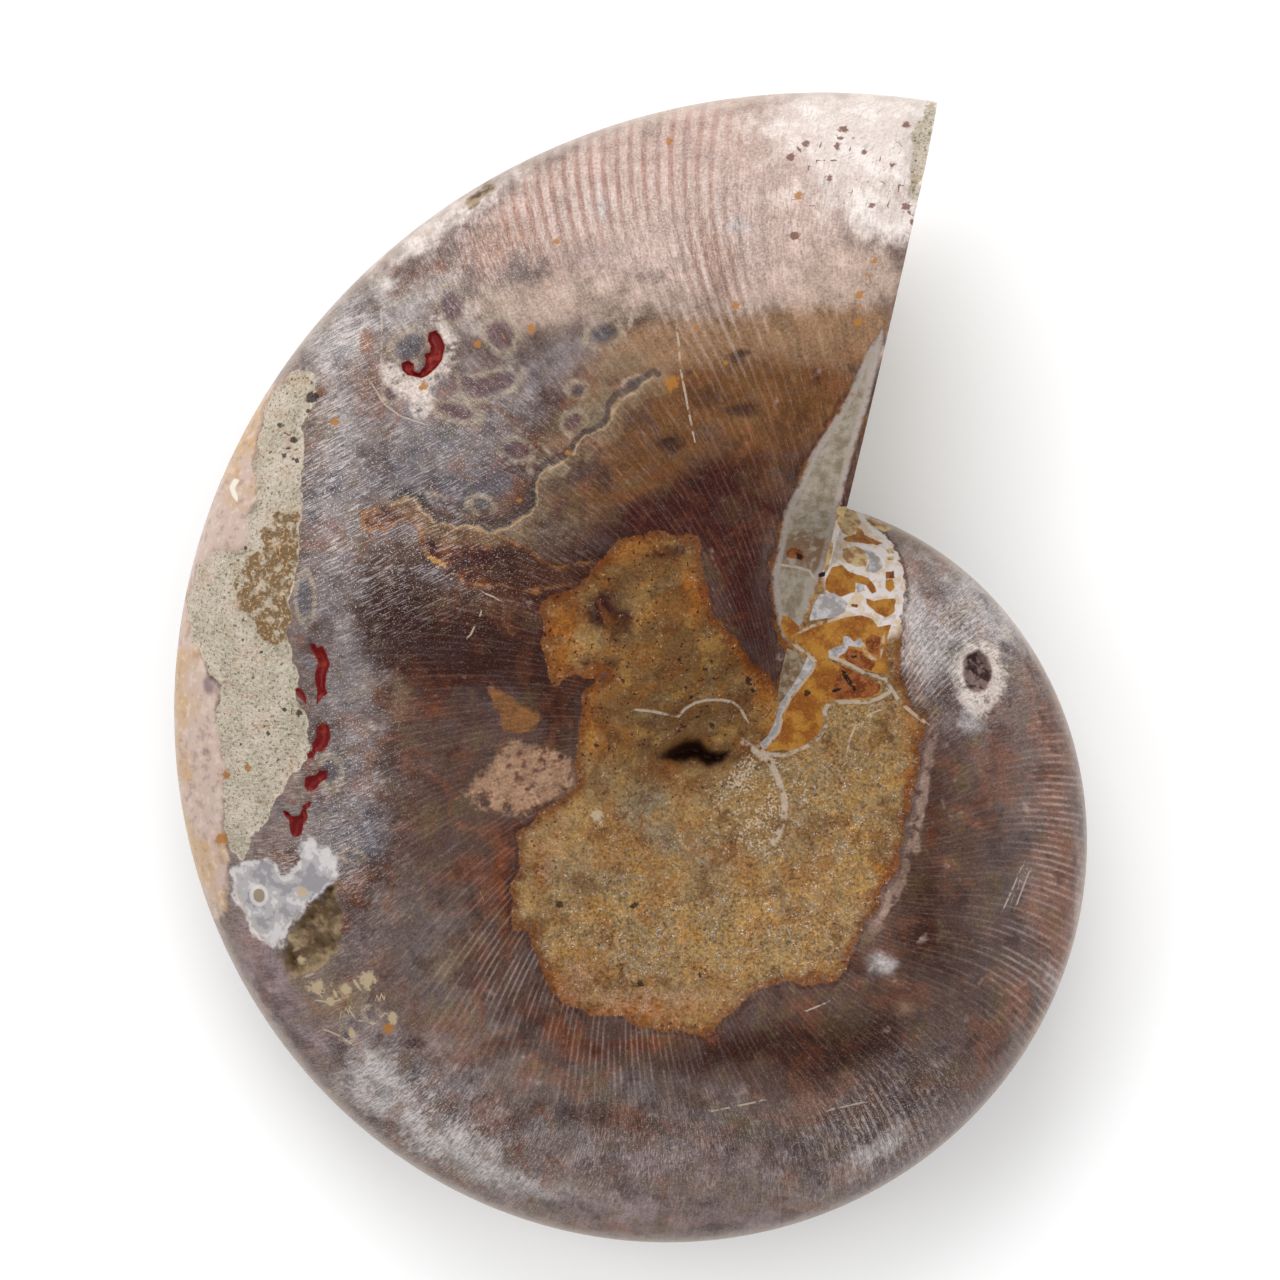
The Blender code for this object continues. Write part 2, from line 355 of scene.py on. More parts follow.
def flank_nodes(tree, sizes, rings, side, furthest):
    """The upper flank (side 1) or the under one (-1), out to a share of the way to the keel.

    It is a square grid wrapped round the hub and opened along the saw cut past the step's start.
    """
    count = rings * 2 + 1
    spread = {"Size X": 2.0, "Size Y": 2.0, "Vertices X": count, "Vertices Y": count}
    grid = node_with(tree, "GeometryNodeMeshGrid", spread).outputs["Mesh"]
    inner_share = (rings * INNER_RING_SHARE).math("ROUND") / rings
    x, y, _ = place_of(tree)
    grid = kept(tree, grid, "lower_half", y.math("LESS_THAN", 0.0), "FACE")
    x, y, _ = place_of(tree)
    seam = y.math("ABSOLUTE").math("LESS_THAN", SEAM_GAP) * x.over(inner_share)
    opened = node_with(tree, "GeometryNodeSplitEdges", {"Mesh": grid, "Selection": seam}).outputs["Mesh"]
    x, y, _ = place_of(tree)
    lower = named_value(tree, "lower_half").over(0.9)
    wrapped = kept(tree, opened, "turn", square_turn(x, y, lower))
    ring = x.math("ABSOLUTE").math("MAXIMUM", y.math("ABSOLUTE"))
    wrapped = kept(tree, wrapped, "ring", ring * furthest)
    wrapped = kept(tree, wrapped, "side", side)
    turn, ring = named_value(tree, "turn"), named_value(tree, "ring")
    bearing = sizes["First Bearing"] + (sizes["Last Bearing"] - sizes["First Bearing"]) * turn
    form = ShellForm(tree, sizes)
    edge_x, edge_y = form.edge_from_hub(bearing)
    length = (edge_x * edge_x + edge_y * edge_y).math("SQRT")
    start = inner_share * furthest
    outward = ((ring - start) / (1 - start)).math("MAXIMUM", 0.0)
    crowded = 1 - (1 - outward).math("MAXIMUM", 0.0) ** EDGE_CROWDING
    reach = (ring / start).math("MINIMUM", 1.0) * STEP_START + (length - STEP_START) * crowded
    height = form.flank_height(bearing, reach) * side
    spot = {"X": HUB.x + edge_x * (reach / length), "Y": HUB.y + edge_y * (reach / length), "Z": height}
    place = node_with(tree, "ShaderNodeCombineXYZ", spot).outputs[0]
    moved = node_with(tree, "GeometryNodeSetPosition", {"Geometry": wrapped, "Position": place}).outputs[0]
    if side < 0:
        moved = node_with(tree, "GeometryNodeFlipFaces", {"Mesh": moved}).outputs["Mesh"]
    return moved


SHELL_INPUTS = ("Spiral Radius", "Expansion", "Half Thickness", "First Bearing", "Last Bearing", "Rings")


def shell_tree(material):
    """The Geometry Nodes tree that makes both flanks from the coil's sizes."""
    tree = bpy.data.node_groups.new("coiled_shell", "GeometryNodeTree")
    for name in SHELL_INPUTS:
        kind = "NodeSocketInt" if name == "Rings" else "NodeSocketFloat"
        tree.interface.new_socket(name, in_out="INPUT", socket_type=kind)
    tree.interface.new_socket("Geometry", in_out="OUTPUT", socket_type="NodeSocketGeometry")
    given = tree.nodes.new("NodeGroupInput")
    sizes = {name: Term(tree, given.outputs[name]) for name in SHELL_INPUTS}
    upper = flank_nodes(tree, sizes, sizes["Rings"], 1.0, 1.0)
    coarse = (sizes["Rings"] * UNDER_RING_SHARE).math("ROUND")
    under = flank_nodes(tree, sizes, coarse, -1.0, UNDER_REACH)
    joined = tree.nodes.new("GeometryNodeJoinGeometry")
    for flank in (under, upper):
        tree.links.new(flank, joined.inputs["Geometry"])
    real = node_with(tree, "GeometryNodeRealizeInstances", {"Geometry": joined.outputs[0]}).outputs[0]
    dressed = node_with(tree, "GeometryNodeSetMaterial", {"Geometry": real, "Material": material}).outputs[0]
    tree.links.new(dressed, tree.nodes.new("NodeGroupOutput").inputs["Geometry"])
    return tree


def grown_flanks(shell, material):
    """Runs the tree and returns its two flanks as one plain mesh."""
    tree = shell_tree(material)
    holder = bpy.data.objects.new("coil_holder", bpy.data.meshes.new("coil_holder"))
    bpy.context.scene.collection.objects.link(holder)
    modifier = holder.modifiers.new("coil", "NODES")
    modifier.node_group = tree
    first, last = cut_bearings(shell)
    values = {
        "Spiral Radius": shell.spiral_radius,
        "Expansion": shell.expansion,
        "Half Thickness": shell.half_thickness,
        "First Bearing": math.radians(first),
        "Last Bearing": math.radians(last),
        "Rings": shell.rings,
    }
    for item in tree.interface.items_tree:
        if item.in_out == "INPUT":
            modifier[item.identifier] = values[item.name]
    graph = bpy.context.evaluated_depsgraph_get()
    mesh = bpy.data.meshes.new_from_object(holder.evaluated_get(graph))
    holder.modifiers.remove(modifier)
    bpy.data.objects.remove(holder)
    return mesh


def join_keel(bm, over, under, turn):
    """A strip of triangles between the rims of the two flanks."""
    here = there = 0
    while here < len(over) - 1 or there < len(under) - 1:
        on = here < len(over) - 1
        if on and there < len(under) - 1:
            on = over[here + 1][turn] <= under[there + 1][turn]
        if on:
            bm.faces.new((over[here], under[there], over[here + 1]))
            here += 1
        else:
            bm.faces.new((over[here], under[there], under[there + 1]))
            there += 1


def close_shell(mesh):
    """Joins the flanks at the keel and across the saw cut, and makes small faces where small marks lie."""
    bm = bmesh.new()
    bm.from_mesh(mesh)
    turn, ring, side = (bm.verts.layers.float[name] for name in ("turn", "ring", "side"))
    rims, first, last = {}, {}, {}
    for face in (1.0, -1.0):
        own = [vert for vert in bm.verts if vert[side] == face]
        furthest = max(vert[ring] for vert in own)
        rims[face] = sorted((v for v in own if v[ring] > furthest - SEAM_GAP), key=lambda v: v[turn])
        opened = sorted((v for v in own if v.is_boundary), key=lambda v: v[ring])
        first[face] = [v for v in opened if v[turn] < EQUAL]
        last[face] = [v for v in opened if v[turn] > 1 - EQUAL]
    join_keel(bm, rims[1.0], rims[-1.0], turn)
    outer = [*first[-1.0], *reversed(first[1.0])]
    inner = [*last[1.0], *reversed(last[-1.0])]
    cut = bm.faces.new(outer + inner)
    bmesh.ops.recalc_face_normals(bm, faces=bm.faces[:])
    for face in bm.faces:
        face.material_index = POLISHED
    cut.material_index = SAWN
    bmesh.ops.triangulate(bm, faces=[cut])
    for areas in FINE_AREAS:
        split_faces(bm, side, areas)
    bm.to_mesh(mesh)
    bm.free()


def split_faces(bm, side, areas):
    """Halves the edges of the upper faces that lie in boxes of the picture."""
    edges = set()
    for face in bm.faces:
        if any(vert[side] < 0 for vert in face.verts):
            continue
        centre = face.calc_center_median()
        x, y = seen_places(np.array([centre]))
        if any(left < x[0] < right and top < y[0] < bottom for left, top, right, bottom in areas):
            edges.update(face.edges)
    bmesh.ops.subdivide_edges(bm, edges=list(edges), cuts=1, use_grid_fill=True)


# The shell's finishes, by the number that a face has for its material
POLISHED, SAWN, OPEN_SHELL, WORN_ONLY = range(4)

# Boxes of the picture whose faces are halved, as left, top, right and bottom, then boxes to halve once more
FINE_AREAS = (
    (
        (740, 495, 935, 770), (355, 300, 470, 430), (275, 630, 340, 845), (945, 635, 1015, 710),
        (660, 695, 800, 860), (215, 850, 345, 990), (222, 445, 258, 510),
    ),
    ((775, 500, 915, 762), (395, 322, 450, 384)),
)

# Outlines on the face that shows, in pixels of the picture
WORN_MIDDLE = [
    (621, 537), (657, 529), (700, 537), (699, 567), (708, 603), (726, 631), (754, 662), (777, 684),
    (785, 660), (779, 639), (774, 613), (771, 577), (778, 551), (784, 511), (800, 485), (806, 460),
    (850, 395), (884, 328), (850, 460), (840, 505), (866, 514), (893, 545), (903, 573), (903, 612),
    (899, 644), (906, 690), (925, 720), (922, 741), (917, 779), (909, 817), (902, 853), (887, 884),
    (861, 932), (848, 963), (836, 983), (790, 983), (764, 988), (744, 1004), (723, 1019), (703, 1037),
    (667, 1032), (637, 1024), (624, 1014), (583, 1016), (560, 1001), (542, 972), (533, 946), (530, 931),
    (516, 931), (509, 917), (510, 887), (520, 871), (517, 835), (545, 812), (577, 784), (575, 757),
    (576, 741), (579, 715), (583, 698), (592, 686), (610, 675), (575, 676), (552, 690), (545, 650),
    (541, 600), (575, 590), (600, 560),
]
MATRIX_PATCH = [
    (293, 369), (310, 374), (318, 388), (313, 408), (303, 432), (301, 480), (299, 540), (296, 580),
    (289, 610), (289, 650), (296, 686), (302, 712), (311, 726), (306, 754), (298, 768), (284, 780),
    (274, 800), (262, 822), (250, 842), (238, 862), (230, 850), (224, 820), (222, 790), (226, 765),
    (216, 738), (221, 700), (214, 672), (203, 655), (190, 640), (188, 600), (196, 572), (214, 556),
    (243, 547), (246, 522), (257, 500), (256, 465), (260, 435), (264, 410), (277, 388),
]
BROWN_STAIN = [
    (278, 514), (297, 510), (298, 540), (295, 570), (288, 600), (290, 632), (276, 643), (261, 640),
    (253, 616), (238, 604), (236, 580), (250, 558), (264, 548), (262, 530),
]
BROWN_RED_PATCH = [
    (359, 513), (380, 512), (400, 499), (415, 497), (430, 508), (438, 524), (470, 529), (499, 531),
    (520, 545), (560, 568), (600, 562), (590, 582), (552, 590), (500, 590), (466, 582), (441, 565),
    (423, 548), (418, 530), (405, 520), (385, 532), (366, 530),
]
SHELL_RIM = [
    (300, 372), (277, 388), (262, 412), (257, 440), (256, 470), (258, 500), (246, 545), (196, 572),
    (188, 600), (196, 640), (204, 660), (216, 690), (220, 738), (226, 766), (221, 800), (228, 862),
    (226, 920), (216, 920), (186, 860), (166, 740), (170, 620), (205, 480), (262, 385),
]
RED_MINERAL = [
    [(428, 333), (436, 330), (441, 336), (445, 346), (442, 360), (436, 368), (428, 375), (421, 378),
     (413, 376), (407, 375), (402, 370), (401, 363), (408, 360), (414, 364), (414, 371), (419, 373),
     (424, 366), (426, 360), (424, 354), (430, 352), (431, 346), (428, 341)],
    [(308, 643), (314, 643), (318, 649), (322, 643), (325, 651), (330, 664), (326, 676), (325, 688),
     (328, 694), (322, 697), (318, 706), (316, 703), (317, 690), (314, 676), (318, 662), (315, 655)],
    [(294, 689), (300, 687), (305, 694), (308, 710), (304, 702), (296, 695)],
    [(316, 728), (322, 723), (329, 725), (330, 738), (327, 746), (321, 752), (316, 751), (314, 758),
     (307, 759), (306, 754), (312, 751), (312, 744), (316, 737)],
    [(305, 777), (315, 775), (320, 770), (328, 770), (327, 779), (320, 783), (316, 789), (308, 792),
     (304, 787)],
    [(282, 810), (288, 811), (292, 817), (300, 815), (302, 806), (310, 800), (313, 803), (306, 810),
     (308, 818), (303, 824), (302, 833), (297, 838), (291, 836), (289, 826), (289, 820), (284, 815)],
]
HALOS = [
    [(430, 314), (440, 318), (452, 330), (457, 343), (455, 356), (449, 368), (440, 379), (433, 389),
     (430, 402), (426, 416), (418, 416), (408, 403), (399, 391), (387, 384), (381, 376), (384, 366),
     (396, 365), (404, 374), (420, 379), (436, 370), (446, 350), (440, 333)],
    [(958, 650), (972, 638), (990, 640), (1001, 656), (1005, 680), (998, 702), (980, 718), (963, 708),
     (954, 684)],
]
AMBER_FILLS = [
    [(842, 539), (848, 536), (856, 534), (857, 527), (862, 529), (865, 535), (874, 539), (882, 543),
     (878, 545), (862, 543), (850, 542)],
    [(832, 567), (842, 565), (850, 572), (860, 575), (869, 578), (875, 586), (877, 592), (872, 594),
     (866, 585), (856, 583), (855, 592), (848, 594), (841, 597), (832, 594), (825, 589), (826, 579)],
    [(886, 579), (893, 579), (895, 587), (891, 592), (886, 589)],
    [(866, 598), (874, 601), (884, 599), (896, 598), (895, 612), (886, 618), (876, 612), (868, 605)],
    [(783, 615), (791, 618), (800, 627), (800, 636), (792, 643), (784, 635), (781, 624)],
    [(801, 632), (812, 626), (830, 622), (845, 617), (862, 615), (873, 619), (878, 627), (892, 624),
     (888, 636), (886, 652), (889, 674), (876, 673), (865, 670), (852, 664), (838, 659), (828, 655),
     (828, 660), (842, 668), (856, 674), (872, 681), (882, 686), (880, 694), (868, 699), (850, 699),
     (834, 700), (824, 704), (821, 712), (824, 722), (820, 733), (806, 744), (792, 750), (770, 751),
     (763, 749), (774, 742), (781, 730), (783, 712), (790, 699), (800, 686), (808, 675), (815, 666),
     (815, 657), (806, 650), (797, 643)],
]
UPPER_CELLS = [
    [(838, 507), (848, 506), (857, 513), (861, 523), (857, 531), (850, 536), (844, 534), (839, 526),
     (836, 518)],
    [(864, 517), (878, 520), (893, 529), (884, 532), (872, 526)],
    [(843, 549), (855, 546), (864, 550), (869, 558), (866, 566), (857, 567), (848, 563), (843, 557)],
    [(887, 549), (893, 548), (894, 553), (888, 554)],
    [(887, 557), (894, 556), (895, 560), (888, 560)],
    [(831, 540), (834, 544), (828, 571), (824, 573), (827, 555)],
]
LEFT_STONE = [(787, 648), (794, 651), (806, 659), (803, 668), (793, 684), (784, 700), (777, 704), (781, 672)]
BROWN_CELLS = [
    [(840, 665), (850, 669), (860, 674), (872, 680), (881, 685), (879, 693), (868, 698), (850, 698),
     (836, 700), (830, 696), (834, 686), (838, 676)],
    [(865, 640), (872, 634), (881, 636), (880, 650), (876, 656), (868, 651)],
    [(841, 655), (850, 648), (862, 652), (868, 659), (876, 662), (872, 671), (860, 668), (848, 662)],
    [(886, 572), (894, 571), (895, 578), (886, 579)],
    [(786, 552), (792, 547), (800, 549), (805, 555), (803, 560), (796, 559), (788, 558)],
    [(851, 604), (858, 604), (858, 608), (852, 607)],
]
BLUE_GREY_CELLS = [
    [(862, 549), (871, 550), (880, 558), (884, 566), (876, 573), (866, 571), (870, 560)],
    [(856, 583), (864, 584), (865, 590), (858, 593)],
    [(813, 606), (820, 594), (834, 593), (843, 598), (848, 604), (845, 612), (836, 617), (820, 619),
     (809, 621)],
    [(828, 651), (837, 646), (843, 645), (844, 636), (850, 637), (854, 642), (860, 638), (863, 642),
     (862, 648), (849, 646), (846, 652), (840, 656), (837, 661), (830, 658)],
    [(808, 656), (814, 660), (812, 669), (803, 679), (794, 692), (786, 706), (781, 718), (778, 732),
     (770, 743), (762, 748), (758, 745), (768, 736), (775, 722), (780, 704), (790, 690), (800, 674)],
]
BLACK_GAPS = [
    [(841, 668), (846, 672), (851, 680), (857, 689), (855, 692), (848, 684), (843, 676)],
    [(832, 690), (842, 687), (842, 690), (833, 693)],
    [(851, 655), (857, 655), (857, 658), (852, 658)],
    [(818, 574), (826, 571), (825, 576), (819, 578)],
    [(796, 552), (803, 555), (801, 560), (797, 559)],
]
CUT_BAND = [
    (884, 328), (868, 352), (850, 395), (835, 420), (812, 455), (800, 485), (786, 511), (779, 551),
    (773, 577), (776, 600), (779, 625), (786, 640), (797, 632), (806, 612), (816, 582), (824, 568),
    (831, 540), (838, 508), (850, 460), (868, 400),
]
BAND_BROWN = [(788, 536), (800, 530), (820, 536), (831, 541), (824, 569), (812, 570), (796, 565), (783, 560)]
UMBILICUS = [
    (658, 758), (672, 748), (684, 741), (700, 740), (705, 748), (716, 753), (730, 751), (724, 762),
    (708, 767), (696, 760), (678, 763),
]
ROUND_PIT = [(965, 657), (978, 650), (988, 656), (993, 672), (988, 688), (977, 694), (967, 688), (963, 672)]
BROKEN_HOLLOW = [
    (318, 900), (330, 886), (339, 880), (339, 905), (341, 930), (338, 950), (326, 962), (316, 972),
    (304, 976), (294, 980), (287, 968), (284, 948), (296, 932), (300, 918), (310, 908),
]
OVAL_SCAR = [
    (232, 872), (242, 862), (258, 860), (272, 864), (284, 876), (296, 868), (300, 850), (308, 841),
    (322, 850), (335, 860), (336, 876), (326, 886), (314, 898), (302, 910), (296, 922), (288, 934),
    (281, 945), (268, 945), (256, 934), (246, 918), (238, 902), (233, 888),
]
CORNER_STONE = [
    (913, 128), (920, 120), (938, 98), (934, 130), (930, 150), (922, 168), (918, 200), (910, 206), (912, 165),
]
KEEL_CHIP = [(462, 206), (470, 196), (486, 186), (498, 182), (494, 190), (482, 198), (470, 207)]
TRIANGLE_MARK = [
    (492, 688), (508, 694), (528, 706), (541, 714), (533, 728), (520, 733), (499, 731), (497, 712),
]
PINK_MARK = [
    (464, 794), (469, 786), (486, 776), (496, 764), (506, 748), (520, 742), (538, 750), (560, 754),
    (576, 760), (575, 790), (560, 800), (536, 806), (520, 815), (496, 812), (478, 808),
]
WHITE_CRESCENT = [(240, 480), (234, 478), (229, 487), (232, 496), (238, 504), (238, 497), (235, 488)]
LAYER_EDGE = [
    (653, 376), (636, 388), (619, 399), (608, 422), (586, 435), (572, 452), (560, 460), (540, 473),
    (534, 485), (536, 506), (525, 516), (512, 520), (499, 529), (468, 527), (438, 524), (415, 497),
    (400, 499),
]

# Lines: half width in pixels, then the points they run through
PALE_LINES = [
    (1.2, [(677, 718), (685, 709), (695, 703), (707, 700), (722, 700), (733, 702), (741, 709), (746, 719)]),
    (2.8, [(742, 741), (752, 748), (762, 756), (771, 763), (777, 775), (782, 790), (785, 806), (784, 820),
           (779, 834), (767, 852)]),
    (1.8, [(762, 752), (772, 755), (784, 755), (797, 751), (808, 746), (819, 737), (826, 727), (827, 718),
           (824, 711), (828, 705), (838, 702), (852, 702), (868, 702), (880, 698), (890, 692)]),
    (1.6, [(829, 656), (842, 661), (855, 667), (866, 674), (876, 676), (886, 679), (893, 691), (901, 703),
           (914, 714), (925, 722)]),
    (1.4, [(863, 644), (866, 652), (872, 658), (879, 659), (882, 651), (884, 637)]),
    (1.5, [(796, 646), (808, 654), (816, 662), (812, 671), (801, 685), (790, 699), (783, 714), (779, 732),
           (766, 747)]),
    (1.3, [(801, 632), (812, 626), (830, 621), (846, 616), (860, 613), (872, 617), (880, 624), (884, 619),
           (894, 616)]),
    (1.2, [(783, 565), (797, 567), (810, 571), (816, 582)]),
    (1.0, [(676, 323), (679, 345), (680, 366), (685, 392), (694, 438)]),
    (0.8, [(381, 310), (382, 330), (381, 362)]),
    (0.8, [(372, 384), (384, 404), (400, 416), (424, 424)]),
    (1.2, [(182, 781), (196, 790), (208, 795), (222, 803)]),
    (0.9, [(248, 452), (240, 464)]),
    (1.2, [(636, 710), (650, 711), (665, 714), (675, 716)]),
    (0.9, [(236, 890), (244, 910), (256, 930), (268, 944), (284, 945)]),
    (0.8, [(484, 593), (499, 599)]),
    (0.8, [(481, 613), (470, 636)]),
    (0.8, [(809, 1010), (830, 1001)]),
    (0.8, [(713, 1111), (761, 1101)]),
    (0.8, [(829, 1110), (864, 1102)]),
    (0.7, [(1003, 910), (1013, 888), (1022, 866)]),
    (0.7, [(1016, 906), (1029, 872)]),
    (0.8, [(848, 750), (850, 739), (855, 728)]),
    (0.8, [(862, 725), (869, 715), (880, 710)]),
    (0.8, [(316, 1000), (330, 1003), (345, 998)]),
    (0.8, [(348, 1008), (356, 1020), (374, 1024), (384, 1014)]),
    (0.8, [(326, 1030), (340, 1036), (352, 1044)]),
]

# Small spots: middle and radius in pixels
SPOTS = {
    "brown_spots": [
        (843, 129, 3.6), (806, 144, 3.4), (837, 146, 3.4), (791, 157, 3.6), (906, 125, 3.4), (892, 165, 3.8),
        (829, 179, 3.8), (907, 207, 4.4), (913, 222, 3.2), (795, 236, 4.0), (864, 152, 2.6), (872, 205, 3.0),
    ],
    "orange_spots": [
        (798, 195, 3.6), (874, 261, 4.0), (860, 295, 3.8), (858, 322, 3.8), (736, 306, 3.6), (726, 363, 2.4),
        (696, 327, 2.6), (852, 394, 2.6), (532, 329, 4.8), (478, 344, 3.8), (423, 386, 5.0), (335, 422, 4.4),
        (557, 242, 3.4), (672, 382, 7.0), (668, 142, 4.0), (225, 774, 4.0), (247, 768, 3.6), (222, 838, 5.0),
        (520, 500, 3.4), (568, 452, 3.2), (387, 1028, 6.0),
    ],
    "cream_spots": [
        (316, 987, 8.0), (345, 989, 7.0), (369, 980, 8.5), (330, 999, 5.0), (392, 1018, 5.0),
        (352, 1034, 4.0), (597, 815, 6.0), (302, 892, 5.0), (292, 938, 4.0), (300, 962, 4.0),
    ],
    "dark_holes": [
        (311, 396, 6.5), (308, 411, 2.0), (296, 460, 2.4), (298, 713, 2.8), (267, 733, 2.4), (240, 744, 2.2),
        (293, 440, 3.0), (279, 425, 2.2), (712, 725, 3.2), (748, 680, 3.4), (754, 691, 2.6), (284, 455, 2.2),
        (692, 697, 2.4), (596, 746, 2.2), (808, 693, 3.0), (245, 548, 2.0), (261, 652, 2.0), (706, 669, 2.6),
        (560, 905, 3.4), (634, 905, 4.0), (700, 975, 3.0), (640, 985, 3.2), (600, 945, 2.6), (284, 710, 2.2),
    ],
}

